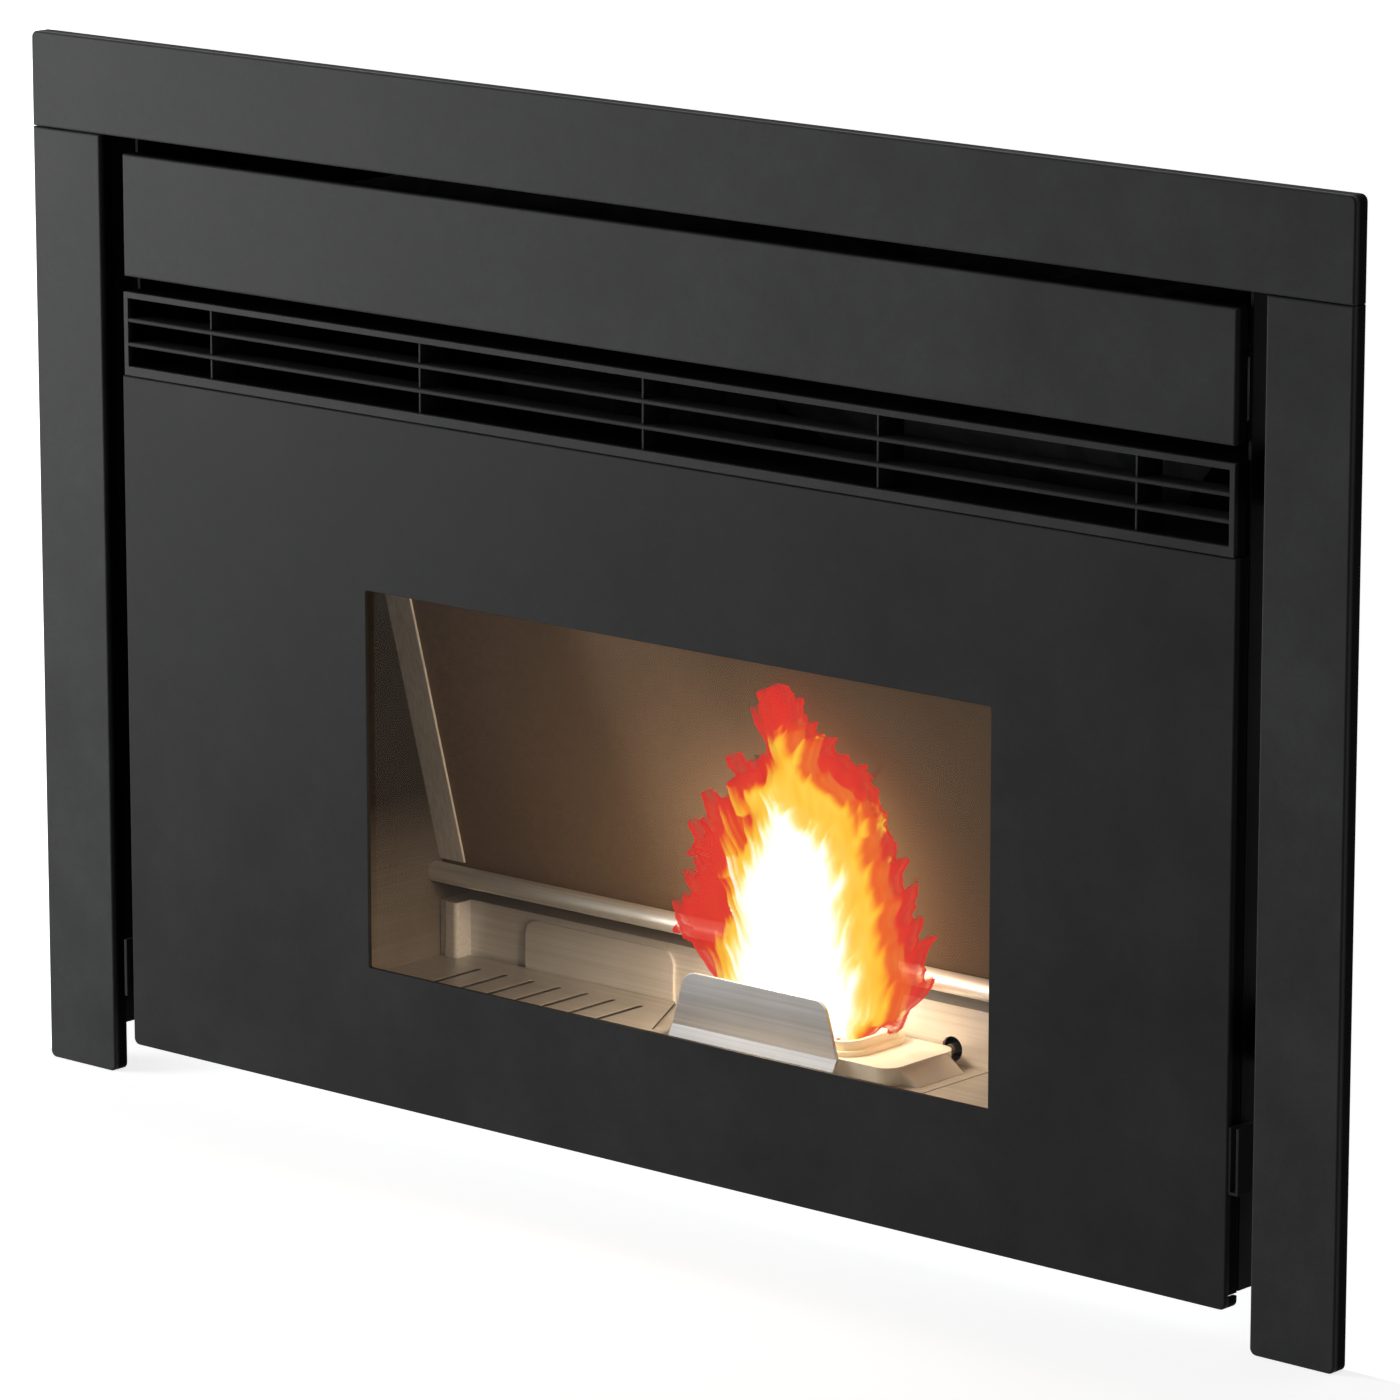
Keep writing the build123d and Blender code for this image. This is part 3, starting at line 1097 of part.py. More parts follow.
def drawer_tray():
    """Pellet tray, open at the top and back, with a floor that falls to the back."""
    outside = [(DRAWER_SHEET, TRAY_FLOOR_FRONT), (DRAWER_SHEET, TRAY_TOP), (TRAY_BACK, TRAY_TOP),
               (TRAY_BACK, TRAY_FLOOR_BACK)]
    inside = [(DRAWER_SHEET + TRAY_SHEET, TRAY_FLOOR_FRONT + TRAY_SHEET),
              (DRAWER_SHEET + TRAY_SHEET, TRAY_TOP + 1), (TRAY_BACK + 1, TRAY_TOP + 1),
              (TRAY_BACK + 1, TRAY_FLOOR_BACK + TRAY_SHEET)]
    body = along_x(outside, -TRAY_HALF, TRAY_HALF)
    body -= along_x(inside, -TRAY_HALF + TRAY_SHEET, TRAY_HALF - TRAY_SHEET)
    for side in (-1, 1):
        ends = sorted((side * TRAY_HALF, side * (TRAY_HALF + RUNNER_WIDTH)))
        body += block(*ends, RAIL_FRONT, RAIL_BACK, RUNNER_Z, RUNNER_Z + RUNNER_THICKNESS)
    return body


def drawer_rail(side):
    """Fixed channel that the tray's runner slides in, on two arms to the casing."""
    web = TRAY_HALF + RUNNER_WIDTH + RAIL_PLAY
    low = RUNNER_Z - RAIL_PLAY - RAIL_SHEET
    high = RUNNER_Z + RUNNER_THICKNESS + RAIL_PLAY + RAIL_SHEET
    near = side * (TRAY_HALF + RAIL_PLAY)
    far = side * (web + RAIL_SHEET)
    channel = block(*sorted((near, far)), RAIL_FRONT, RAIL_BACK, low, high)
    channel -= block(*sorted((near - side, side * web)), RAIL_FRONT - 1, RAIL_BACK + 1,
                     low + RAIL_SHEET, high - RAIL_SHEET)
    for depth in (RAIL_FRONT + RAIL_ARM_FROM_FRONT, RAIL_BACK - RAIL_ARM_FROM_BACK):
        channel += block(*sorted((far, side * CASING_INNER)), depth, depth + RAIL_ARM_WIDTH, low,
                         low + RAIL_SHEET)
    return channel


def make_drawer():
    save("drawer_front", tray(-DRAWER_HALF, DRAWER_HALF, DRAWER_BOTTOM, DRAWER_TOP, DRAWER_SHEET,
                              FOLD_DEPTH))
    save("drawer_tray", drawer_tray())
    save("drawer_rails", drawer_rail(-1), drawer_rail(1))


# ---- fans -------------------------------------------------------------------
SMOKE_FAN_FRONT = 330.0
SMOKE_FAN_BACK = 390.0
SMOKE_FAN_RADIUS = 75.0
SMOKE_FAN_SHEET = 2.0
SMOKE_WHEEL_RADIUS = 60.0
SMOKE_BLADE_COUNT = 8
SHAFT_RADIUS = 4.0
MOTOR_BORE = 12.0
SMOKE_MOTOR_RADIUS = 34.0
SMOKE_MOTOR_LENGTH = 65.0
SMOKE_BOX_BESIDE_FLUE = 2.0
SMOKE_BOX_ABOVE_FLUE_FOOT = 2.0
SMOKE_FOOT_HALF = 30.0
SMOKE_FOOT_LAP = 10.0
SMOKE_OUTLET_INSET = 1.5
SMOKE_WHEEL_FRONT_GAP = 6.0
SMOKE_WHEEL_BACK_GAP = 5.0
SMOKE_DISC = 2.0
SMOKE_HUB_RADIUS = 12.0
SMOKE_HUB_SETBACK = 10.0
SMOKE_BLADE_ROOT = 10.0
SMOKE_BLADE_SHEET = 1.6
ROOM_FAN_FROM_SIDE = 217.0
ROOM_FAN_X = ROOM_FAN_FROM_SIDE - CASING_INNER
ROOM_FAN_Z = 92.0
ROOM_FAN_DEPTH = 300.0
ROOM_FAN_HALF = 118.0
ROOM_FAN_RADIUS = 46.0
ROOM_WHEEL_RADIUS = 36.0
ROOM_BLADE_COUNT = 14
ROOM_DUCT_TOP = 190.0
ROOM_MOTOR_RADIUS = 28.0
ROOM_MOTOR_LENGTH = 55.0
ROOM_FAN_SHEET = 1.5
ROOM_FOOT_HALF = 15.0
ROOM_FOOT_LAP = 4.0
ROOM_INTAKE_INSET = 10.0
ROOM_INTAKE_SETBACK = 20.0
ROOM_INTAKE_BELOW = 20.0
ROOM_INTAKE_ABOVE = 30.0
ROOM_WHEEL_GAP = 6.0
ROOM_BLADE_INSET = 7.0
ROOM_BLADE_TURN = 30.0
ROOM_BLADE_CHORD = 9.0
ROOM_BLADE_SHEET = 1.2


def smoke_fan_housing():
    """Volute of the smoke fan with its inlet pipe, side outlet box and foot."""
    def hull(inset):
        shape = Pos(SMOKE_X, SMOKE_Z) * Circle(SMOKE_FAN_RADIUS - inset)
        reach = FLUE_RADIUS + SMOKE_BOX_BESIDE_FLUE - inset
        low = FLUE_Z - FLUE_RADIUS + SMOKE_BOX_ABOVE_FLUE_FOOT + inset
        return shape + rect(FLUE_X - reach, SMOKE_X, low, SMOKE_Z + SMOKE_FAN_RADIUS - inset)

    sheet = SMOKE_FAN_SHEET
    body = along_depth(hull(0), SMOKE_FAN_FRONT, SMOKE_FAN_BACK)
    body += round_bar(SMOKE_X, SMOKE_Z, SMOKE_RADIUS + FLUE_WALL, CHAMBER_REAR + CHAMBER_PLATE,
                      SMOKE_FAN_FRONT)
    body += block(SMOKE_X - SMOKE_FOOT_HALF, SMOKE_X + SMOKE_FOOT_HALF, SMOKE_FAN_FRONT,
                  SMOKE_FAN_BACK, BASE_TOP, SMOKE_Z - SMOKE_FAN_RADIUS + SMOKE_FOOT_LAP)
    body -= along_depth(hull(sheet), SMOKE_FAN_FRONT + sheet, SMOKE_FAN_BACK - sheet)
    body -= round_bar(SMOKE_X, SMOKE_Z, SMOKE_RADIUS, 0, SMOKE_FAN_FRONT + 5)
    body -= round_bar(SMOKE_X, SMOKE_Z, SHAFT_RADIUS + 1, SMOKE_FAN_BACK - 5, SMOKE_FAN_BACK + 1)
    outlet = FLUE_RADIUS - FLUE_WALL - SMOKE_OUTLET_INSET
    return body - round_bar(FLUE_X, FLUE_Z, outlet, SMOKE_FAN_BACK - 5, SMOKE_FAN_BACK + 1)


def smoke_wheel():
    """Radial wheel: a back disc, a hub and straight blades."""
    front = SMOKE_FAN_FRONT + SMOKE_FAN_SHEET + SMOKE_WHEEL_FRONT_GAP
    back = SMOKE_FAN_BACK - SMOKE_FAN_SHEET - SMOKE_WHEEL_BACK_GAP
    wheel = round_bar(SMOKE_X, SMOKE_Z, SMOKE_WHEEL_RADIUS, back - SMOKE_DISC, back)
    wheel += round_bar(SMOKE_X, SMOKE_Z, SMOKE_HUB_RADIUS, front + SMOKE_HUB_SETBACK, back)
    half = SMOKE_BLADE_SHEET / 2
    for index in range(SMOKE_BLADE_COUNT):
        blade = rect(SMOKE_BLADE_ROOT, SMOKE_WHEEL_RADIUS - SMOKE_DISC, -half, half)
        blade = Pos(SMOKE_X, SMOKE_Z) * Rot(0, 0, 360 / SMOKE_BLADE_COUNT * index) * blade
        wheel += along_depth(blade, front, back - 1)
    return wheel + round_bar(SMOKE_X, SMOKE_Z, SHAFT_RADIUS, back, SMOKE_FAN_BACK + MOTOR_BORE - 2)


def smoke_motor():
    body = round_bar(SMOKE_X, SMOKE_Z, SMOKE_MOTOR_RADIUS, SMOKE_FAN_BACK,
                     SMOKE_FAN_BACK + SMOKE_MOTOR_LENGTH)
    return body - round_bar(SMOKE_X, SMOKE_Z, SHAFT_RADIUS + SHAFT_PLAY, SMOKE_FAN_BACK - 1,
                            SMOKE_FAN_BACK + MOTOR_BORE)


def spigot(x, z, radius, start, end):
    """A pipe through the back sheet, with a round collar plate outside."""
    pipe = round_bar(x, z, radius, start, end)
    pipe += round_bar(x, z, radius + COLLAR_WIDTH, CASING_BACK, CASING_BACK + COLLAR_SHEET)
    return pipe - round_bar(x, z, radius - FLUE_WALL, start - 1, end + 1)


def room_fan_housing():
    """Scroll of the cross-flow fan: a wide sleeve with an upward outlet."""
    x0 = ROOM_FAN_X - ROOM_FAN_HALF
    x1 = ROOM_FAN_X + ROOM_FAN_HALF
    sheet = ROOM_FAN_SHEET

    def hull(inset, top, a, b):
        scroll = cross_bar(ROOM_FAN_DEPTH, ROOM_FAN_Z, ROOM_FAN_RADIUS - inset, a, b)
        return scroll + block(a, b, ROOM_FAN_DEPTH - ROOM_FAN_RADIUS + inset, ROOM_FAN_DEPTH - inset,
                              ROOM_FAN_Z, top)

    body = hull(0, ROOM_DUCT_TOP, x0, x1)
    body += block(x0, x1, ROOM_FAN_DEPTH - ROOM_FOOT_HALF, ROOM_FAN_DEPTH + ROOM_FOOT_HALF, BASE_TOP,
                  ROOM_FAN_Z - ROOM_FAN_RADIUS + ROOM_FOOT_LAP)
    body -= hull(sheet, ROOM_DUCT_TOP + 1, x0 + sheet, x1 - sheet)
    body -= block(x0 + ROOM_INTAKE_INSET, x1 - ROOM_INTAKE_INSET,
                  ROOM_FAN_DEPTH + ROOM_INTAKE_SETBACK, ROOM_FAN_DEPTH + ROOM_FAN_RADIUS + 1,
                  ROOM_FAN_Z - ROOM_INTAKE_BELOW, ROOM_FAN_Z + ROOM_INTAKE_ABOVE)
    return body - cross_bar(ROOM_FAN_DEPTH, ROOM_FAN_Z, SHAFT_RADIUS + 1, x1 - 5, x1 + 1)


def room_wheel():
    """Cross-flow wheel: two end discs joined by a ring of long blades."""
    x0 = ROOM_FAN_X - ROOM_FAN_HALF + ROOM_WHEEL_GAP
    x1 = ROOM_FAN_X + ROOM_FAN_HALF - ROOM_WHEEL_GAP
    section = Rot(0, 0, ROOM_BLADE_TURN) * Rectangle(ROOM_BLADE_CHORD, ROOM_BLADE_SHEET)
    wheel = cross_bar(ROOM_FAN_DEPTH, ROOM_FAN_Z, ROOM_WHEEL_RADIUS, x0, x0 + 2)
    wheel += cross_bar(ROOM_FAN_DEPTH, ROOM_FAN_Z, ROOM_WHEEL_RADIUS, x1 - 2, x1)
    for index in range(ROOM_BLADE_COUNT):
        place = Pos(FRONT_Y + ROOM_FAN_DEPTH, ROOM_FAN_Z) * Rot(0, 0, 360 / ROOM_BLADE_COUNT * index)
        blade = place * Pos(ROOM_WHEEL_RADIUS - ROOM_BLADE_INSET, 0) * section
        wheel += extrude(Plane.YZ.offset(x0 + 1) * blade, amount=x1 - x0 - 2, dir=(1, 0, 0))
    end = ROOM_FAN_X + ROOM_FAN_HALF + MOTOR_BORE - 2
    return wheel + cross_bar(ROOM_FAN_DEPTH, ROOM_FAN_Z, SHAFT_RADIUS, x1 - 1, end)


def room_motor():
    x0 = ROOM_FAN_X + ROOM_FAN_HALF
    body = cross_bar(ROOM_FAN_DEPTH, ROOM_FAN_Z, ROOM_MOTOR_RADIUS, x0, x0 + ROOM_MOTOR_LENGTH)
    return body - cross_bar(ROOM_FAN_DEPTH, ROOM_FAN_Z, SHAFT_RADIUS + SHAFT_PLAY, x0 - 1,
                            x0 + MOTOR_BORE)


def make_fans():
    save("smoke_fan_housing", smoke_fan_housing())
    save("smoke_fan_wheel", smoke_wheel())
    save("smoke_fan_motor", smoke_motor())
    save("flue_spigot", spigot(FLUE_X, FLUE_Z, FLUE_RADIUS, SMOKE_FAN_BACK, OVERALL_DEPTH))
    save("air_intake_spigot", spigot(INTAKE_X, INTAKE_Z, INTAKE_RADIUS, BACK_INNER - INTAKE_INSIDE,
                                     CASING_BACK + INTAKE_REACH))
    save("room_fan_housing", room_fan_housing())
    save("room_fan_wheel", room_wheel())
    save("room_fan_motor", room_motor())


# ---- electrics --------------------------------------------------------------
CONTROL_WIDTH = 90.0
CONTROL_FRONT = 320.0
CONTROL_BACK = 470.0
CONTROL_BOTTOM = 230.0
CONTROL_TOP = 380.0
CONTROL_WALL = 2.0
SOCKET_WIDTH = 24.0
SOCKET_HEIGHT = 17.0
SOCKET_DEPTH = 15.0
SOCKET_DROP = 12.0
ROCKER_RISE = 15.0
ROCKER_WIDTH = 20.0
ROCKER_RADIUS = 6.9
ROCKER_WELL = 9.0
ROCKER_PLAY = 0.4
ROCKER_VEE = 0.55
CONTACT_SPREAD = 7.0
CONTACT_RISE = 2.0
CONTACT_SHEET = 2.0
CONTACT_WIDTH = 4.0
CONTACT_SETBACK = 5.0
INLET_RADIUS = 3.0
INLET_FLANGE = 2.0
INLET_BODY = 28.0


def control_box():
    """Cover of the control board, open against the left side sheet."""
    box = block(-CASING_INNER, -CASING_INNER + CONTROL_WIDTH, CONTROL_FRONT, CONTROL_BACK,
                CONTROL_BOTTOM, CONTROL_TOP)
    return box - block(-CASING_INNER - 1, -CASING_INNER + CONTROL_WIDTH - CONTROL_WALL,
                       CONTROL_FRONT + CONTROL_WALL, CONTROL_BACK - CONTROL_WALL,
                       CONTROL_BOTTOM + CONTROL_WALL, CONTROL_TOP - CONTROL_WALL)


def mains_inlet():
    """Mains inlet and switch moulding, clipped into the back from outside."""
    wide = INLET_WIDTH / 2
    high = INLET_HEIGHT / 2
    face = CASING_BACK + INLET_FLANGE
    flange = rect(INLET_X - wide, INLET_X + wide, INLET_Z - high, INLET_Z + high, INLET_RADIUS)
    body = along_depth(flange, CASING_BACK, face)
    wide -= INLET_LAP_X + RUNNING
    high -= INLET_LAP_Z + RUNNING
    body += block(INLET_X - wide, INLET_X + wide, CASING_BACK - INLET_BODY, CASING_BACK,
                  INLET_Z - high, INLET_Z + high)
    socket = INLET_Z - SOCKET_DROP
    body -= block(INLET_X - SOCKET_WIDTH / 2, INLET_X + SOCKET_WIDTH / 2, face - SOCKET_DEPTH, face + 1,
                  socket - SOCKET_HEIGHT / 2, socket + SOCKET_HEIGHT / 2)
    for side in (-1, 0, 1):
        x = INLET_X + side * CONTACT_SPREAD
        z = socket + (CONTACT_RISE if side == 0 else -CONTACT_RISE)
        body += block(x - CONTACT_SHEET / 2, x + CONTACT_SHEET / 2, face - SOCKET_DEPTH - 1,
                      face - CONTACT_SETBACK, z - CONTACT_WIDTH / 2, z + CONTACT_WIDTH / 2)
    rocker = INLET_Z + ROCKER_RISE
    well = ROCKER_RADIUS + ROCKER_PLAY
    side = ROCKER_WIDTH / 2 + ROCKER_PLAY
    return body - block(INLET_X - side, INLET_X + side, face - ROCKER_WELL - well, face + 1,
                        rocker - well, rocker + well)


def rocker():
    """Switch rocker: a short drum with a shallow V across its face."""
    z = INLET_Z + ROCKER_RISE
    depth = CASING_BACK + INLET_FLANGE - ROCKER_RADIUS + 1
    x0 = INLET_X - ROCKER_WIDTH / 2
    drum = cross_bar(depth, z, ROCKER_RADIUS, x0, x0 + ROCKER_WIDTH)
    far = ROCKER_RADIUS + 1
    vee = [(depth + ROCKER_RADIUS * ROCKER_VEE, z), (depth + far, z - far), (depth + 3 * far, z - far),
           (depth + 3 * far, z + far), (depth + far, z + far)]
    return drum - along_x(vee, x0 - 1, x0 + ROCKER_WIDTH + 1)


def make_electrics():
    save("control_box", control_box())
    save("mains_inlet", mains_inlet())
    save("switch_rocker", rocker())


make_surround()
make_casing()
make_grille()
make_door()
make_chamber()
make_burner()
make_feed()
make_drawer()
make_fans()
make_electrics()
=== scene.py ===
"""Looks of a pellet-burning fireplace insert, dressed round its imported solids.

Everything is in metres, in the frame of the solids: X to the right, Z up, and Y
away from the room.  New pieces are surfaces worked out as whole numpy arrays.
"""

from math import cos, pi, radians, sin

import bmesh
import bpy
import numpy as np
from bpy.props import FloatProperty, FloatVectorProperty, IntProperty, PointerProperty
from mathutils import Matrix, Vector


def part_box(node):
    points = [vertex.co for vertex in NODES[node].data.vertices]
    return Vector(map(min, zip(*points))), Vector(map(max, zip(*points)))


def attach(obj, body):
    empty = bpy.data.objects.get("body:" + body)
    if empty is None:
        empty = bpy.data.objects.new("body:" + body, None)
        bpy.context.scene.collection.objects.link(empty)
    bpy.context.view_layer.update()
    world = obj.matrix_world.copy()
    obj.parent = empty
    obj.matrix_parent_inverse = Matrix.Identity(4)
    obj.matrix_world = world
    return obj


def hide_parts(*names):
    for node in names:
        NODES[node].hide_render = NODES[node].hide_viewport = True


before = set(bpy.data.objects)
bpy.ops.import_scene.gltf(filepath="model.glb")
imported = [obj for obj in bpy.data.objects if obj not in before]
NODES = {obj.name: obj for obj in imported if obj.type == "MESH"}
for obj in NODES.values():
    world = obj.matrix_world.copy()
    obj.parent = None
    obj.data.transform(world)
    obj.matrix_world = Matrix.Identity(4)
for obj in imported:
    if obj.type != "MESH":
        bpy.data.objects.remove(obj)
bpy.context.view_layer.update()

bl_info = {
    "name": "Fireplace insert looks",
    "version": (1, 0, 0),
    "blender": (4, 5, 0),
    "location": "3D View > Sidebar > Insert",
    "description": "Paint, steel, glass, fire and stage of a pellet fireplace insert",
    "category": "Object",
}

MM = 0.001
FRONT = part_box("door_panel")[0].y


# ---- surfaces ---------------------------------------------------------------
def grid_faces(rows, cols, wrap_rows=False, wrap_cols=False):
    """Quads of a grid of points: corner (i, j) joins (i+1, j), (i+1, j+1) and (i, j+1)."""
    i = np.arange(rows if wrap_rows else rows - 1)
    j = np.arange(cols if wrap_cols else cols - 1)
    i, j = np.meshgrid(i, j, indexing="ij")
    below, beside = (i + 1) % rows, (j + 1) % cols
    quads = [i * cols + j, below * cols + j, below * cols + beside, i * cols + beside]
    return np.stack(quads, axis=-1).reshape(-1, 4)


def make_piece(name, points, faces, material, body, heat=None, uv=None, weld=False,
               smooth=True):
    """A mesh object from arrays of points and faces, riding on a body.  It can carry a heat for
    each point, a map for each point, and have the points that meet on an axis welded."""
    mesh = bpy.data.meshes.new(name)
    mesh.from_pydata(points.reshape(-1, 3).tolist(), [], faces.tolist())
    if weld:
        work = bmesh.new()
        work.from_mesh(mesh)
        bmesh.ops.remove_doubles(work, verts=work.verts, dist=1e-7)
        work.to_mesh(mesh)
        work.free()
    if heat is not None:
        mesh.attributes.new("fire_heat", "FLOAT", "POINT").data.foreach_set("value", heat)
    if uv is not None:
        corner = np.zeros(len(mesh.loops), dtype=np.int32)
        mesh.loops.foreach_get("vertex_index", corner)
        mesh.uv_layers.new(name="run").data.foreach_set("uv", uv.reshape(-1, 2)[corner].ravel())
    mesh.polygons.foreach_set("use_smooth", np.full(len(mesh.polygons), smooth))
    mesh.materials.append(material)
    mesh.update()
    piece = bpy.data.objects.new(name, mesh)
    bpy.context.scene.collection.objects.link(piece)
    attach(piece, body)
    return piece


def copies(points, faces, places):
    """One small surface set down at many places: places is n matrices of 3 by 4."""
    turned = np.einsum("nij,pj->npi", places[:, :, :3], points) + places[:, None, :, 3]
    step = np.arange(len(places))[:, None, None] * len(points)
    return turned.reshape(-1, 3), (faces[None] + step).reshape(-1, faces.shape[1])


def circle(turn):
    """Points (cos t, sin t) of the unit circle."""
    return np.stack([np.cos(turn), np.sin(turn)], axis=-1)


def turned_profile(profile, sides):
    """Surface of revolution: point (i, j) is (r_i cos t_j, r_i sin t_j, h_i), with
    t_j = 2 pi j / sides."""
    radius, height = np.array(profile).T
    turn = 2 * pi * np.arange(sides) / sides
    points = np.stack([radius[:, None] * np.cos(turn), radius[:, None] * np.sin(turn),
                       np.repeat(height[:, None], sides, axis=1)], axis=-1)
    faces = grid_faces(len(profile), sides, wrap_cols=True)[:, ::-1]
    return points.reshape(-1, 3), faces


# ---- finishes ---------------------------------------------------------------
class Tree:
    """Short calls for the nodes of a material or a world."""

    def __init__(self, tree):
        self.nodes, self.links = tree.nodes, tree.links

    def node(self, kind, inputs=(), **settings):
        made = self.nodes.new("ShaderNode" + kind)
        for key, value in settings.items():
            setattr(made, key, value)
        for socket, value in dict(inputs).items():
            self.feed(made.inputs[socket], value)
        return made

    def feed(self, socket, value):
        if isinstance(value, bpy.types.NodeSocket):
            self.links.new(value, socket)
        else:
            socket.default_value = value

    def math(self, operation, first, second, **settings):
        return self.node("Math", {0: first, 1: second}, operation=operation,
                         **settings).outputs[0]

    def range(self, value, low, high, start=0.3, end=0.7):
        return self.node("MapRange", {"Value": value, "From Min": start, "From Max": end,
                                      "To Min": low, "To Max": high}).outputs["Result"]

    def seen(self):
        """One on rays from the eye, a mirror or a clear body, nothing on rays that light."""
        path = self.node("LightPath").outputs
        eye = self.math("ADD", path["Is Camera Ray"], path["Is Glossy Ray"])
        return self.math("ADD", eye, path["Is Transmission Ray"], use_clamp=True)


class Finish(Tree):
    """A Principled material.  Its patterns read Object coordinates or the piece's own map."""

    def __init__(self, name, colour, roughness, metallic=0.0, specular=0.5):
        self.material = bpy.data.materials.new(name)
        self.material.use_nodes = True
        super().__init__(self.material.node_tree)
        self.shader = self.nodes["Principled BSDF"]
        self.set("Base Color", (*colour, 1.0))
        self.set("Roughness", roughness)
        self.set("Metallic", metallic)
        self.set("Specular IOR Level", specular)
        self.coords = self.node("TexCoord").outputs["Object"]

    def set(self, socket, value):
        self.feed(self.shader.inputs[socket], value)
        return self

    def paint(self, value):
        return self.set("Base Color", value)

    def axis(self, letter):
        return self.node("SeparateXYZ", {0: self.coords}).outputs[letter]

    def stretched(self, stretch, offset=(0, 0, 0)):
        """Coordinates drawn out along one or two axes, for brush marks and grain."""
        return self.node("Mapping", {"Vector": self.coords, "Scale": stretch,
                                     "Location": offset}).outputs["Vector"]

    def noise(self, scale, detail=3.0, roughness=0.55, stretch=None, offset=(0, 0, 0)):
        place = self.stretched(stretch or (1, 1, 1), offset)
        return self.node("TexNoise", {"Vector": place, "Scale": scale, "Detail": detail,
                                      "Roughness": roughness}).outputs["Fac"]

    def cells(self, scale, feature="F1"):
        return self.node("TexVoronoi", {"Vector": self.coords, "Scale": scale},
                         feature=feature).outputs["Distance"]

    def ramp(self, value, stops):
        ramp = self.node("ValToRGB", {"Fac": value})
        stops = [(place, (*colour, 1.0)) for place, colour in stops]
        first, last = ramp.color_ramp.elements
        (first.position, first.color), (last.position, last.color) = stops[0], stops[-1]
        for place, colour in stops[1:-1]:
            ramp.color_ramp.elements.new(place).color = colour
        return ramp.outputs["Color"]

    def blend(self, fac, under, over, kind="MIX"):
        mixed = self.node("Mix", data_type="RGBA", blend_type=kind)
        for socket, value in ((0, fac), (6, under), (7, over)):
            self.feed(mixed.inputs[socket], (*value, 1.0) if isinstance(value, tuple) else value)
        return mixed.outputs[2]

    def show(self, shader):
        self.links.new(shader, self.nodes["Material Output"].inputs["Surface"])
        return self.material

    def relief(self, *heights, rounding=0.0):
        """The last step of a finish: bumps one over another, each (height, depth in metres), with
        edges softened by rounding."""
        under = {}
        if rounding:
            bevel = self.node("Bevel", {"Radius": rounding}, samples=4)
            under = {"Normal": bevel.outputs["Normal"]}
        for height, depth in heights:
            bump = self.node("Bump", {"Height": height, "Distance": depth, "Strength": 1.0,
                                      **under})
            under = {"Normal": bump.outputs["Normal"]}
        return self.set("Normal", under["Normal"]).material


def tinted(colour, factor):
    return tuple(min(1.0, channel * factor) for channel in colour)


def baked_paint(name, seed, colour, spread=0.24, roughness=0.5, front=None):
    """Satin heat-proof paint: cloudy patches a hand wide, fine specks and orange peel.  Front is
    the depth of the piece's face: a few millimetres behind it, in its folds, painted shade turns
    the paint near black and less glossy."""
    finish = Finish(name, colour, roughness, specular=0.06)
    cloud = finish.noise(13.0, 6.0, 0.66, offset=(seed, seed * 0.37, 0))
    speck = finish.noise(420.0, 2.0, offset=(0, seed, 0))
    clouded = finish.ramp(cloud, [(0.32, tinted(colour, 1 - spread)), (0.5, colour),
                                  (0.7, tinted(colour, 1 + spread * 1.4))])
    speckled = finish.ramp(speck, [(0.3, (0.9, 0.9, 0.9)), (0.7, (1.0, 1.0, 1.0))])
    coat = finish.blend(1.0, clouded, speckled, "MULTIPLY")
    if front is not None:
        # Painted shade: behind the face, in the folds and gaps, the paint goes near black and
        # loses its gloss.
        shaded_gap_depths = front + 1.5 * MM, front + 4 * MM
        depth = finish.axis("Y")
        coat = finish.blend(finish.range(depth, 0.0, 1.0, *shaded_gap_depths), coat, (0.003, 0.003, 0.003))
        finish.set("Specular IOR Level", finish.range(depth, 0.06, 0.01, *shaded_gap_depths))
    finish.paint(coat)
    finish.set("Roughness", finish.range(cloud, roughness - 0.06, roughness + 0.07))
    peel = finish.noise(700.0, 2.0, offset=(seed, 0, 0))
    return finish.relief((peel, 0.00002), (cloud, 0.0002), rounding=0.0006)


def zinc_sheet(name, seed, colour):
    """Galvanised sheet: spangles a fingertip wide that differ in shade and gloss."""
    finish = Finish(name, colour, 0.42, metallic=0.85)
    spangle = finish.node("TexVoronoi",
                          {"Vector": finish.stretched((1, 1, 1), (seed, 0, seed)), "Scale": 75.0})
    shade = finish.ramp(spangle.outputs["Color"], [(0.0, tinted(colour, 0.72)),
                                                   (1.0, tinted(colour, 1.18))])
    film = finish.noise(6.0, 4.0, offset=(seed, 0, 0))
    finish.paint(finish.blend(finish.range(film, 0.0, 0.45), shade, tinted(colour, 0.62)))
    finish.set("Roughness", finish.range(film, 0.34, 0.55))
    grain = finish.noise(300.0, 2.0)
    return finish.relief((spangle.outputs["Distance"], 0.00003), (grain, 0.00002),
                         rounding=0.0004)


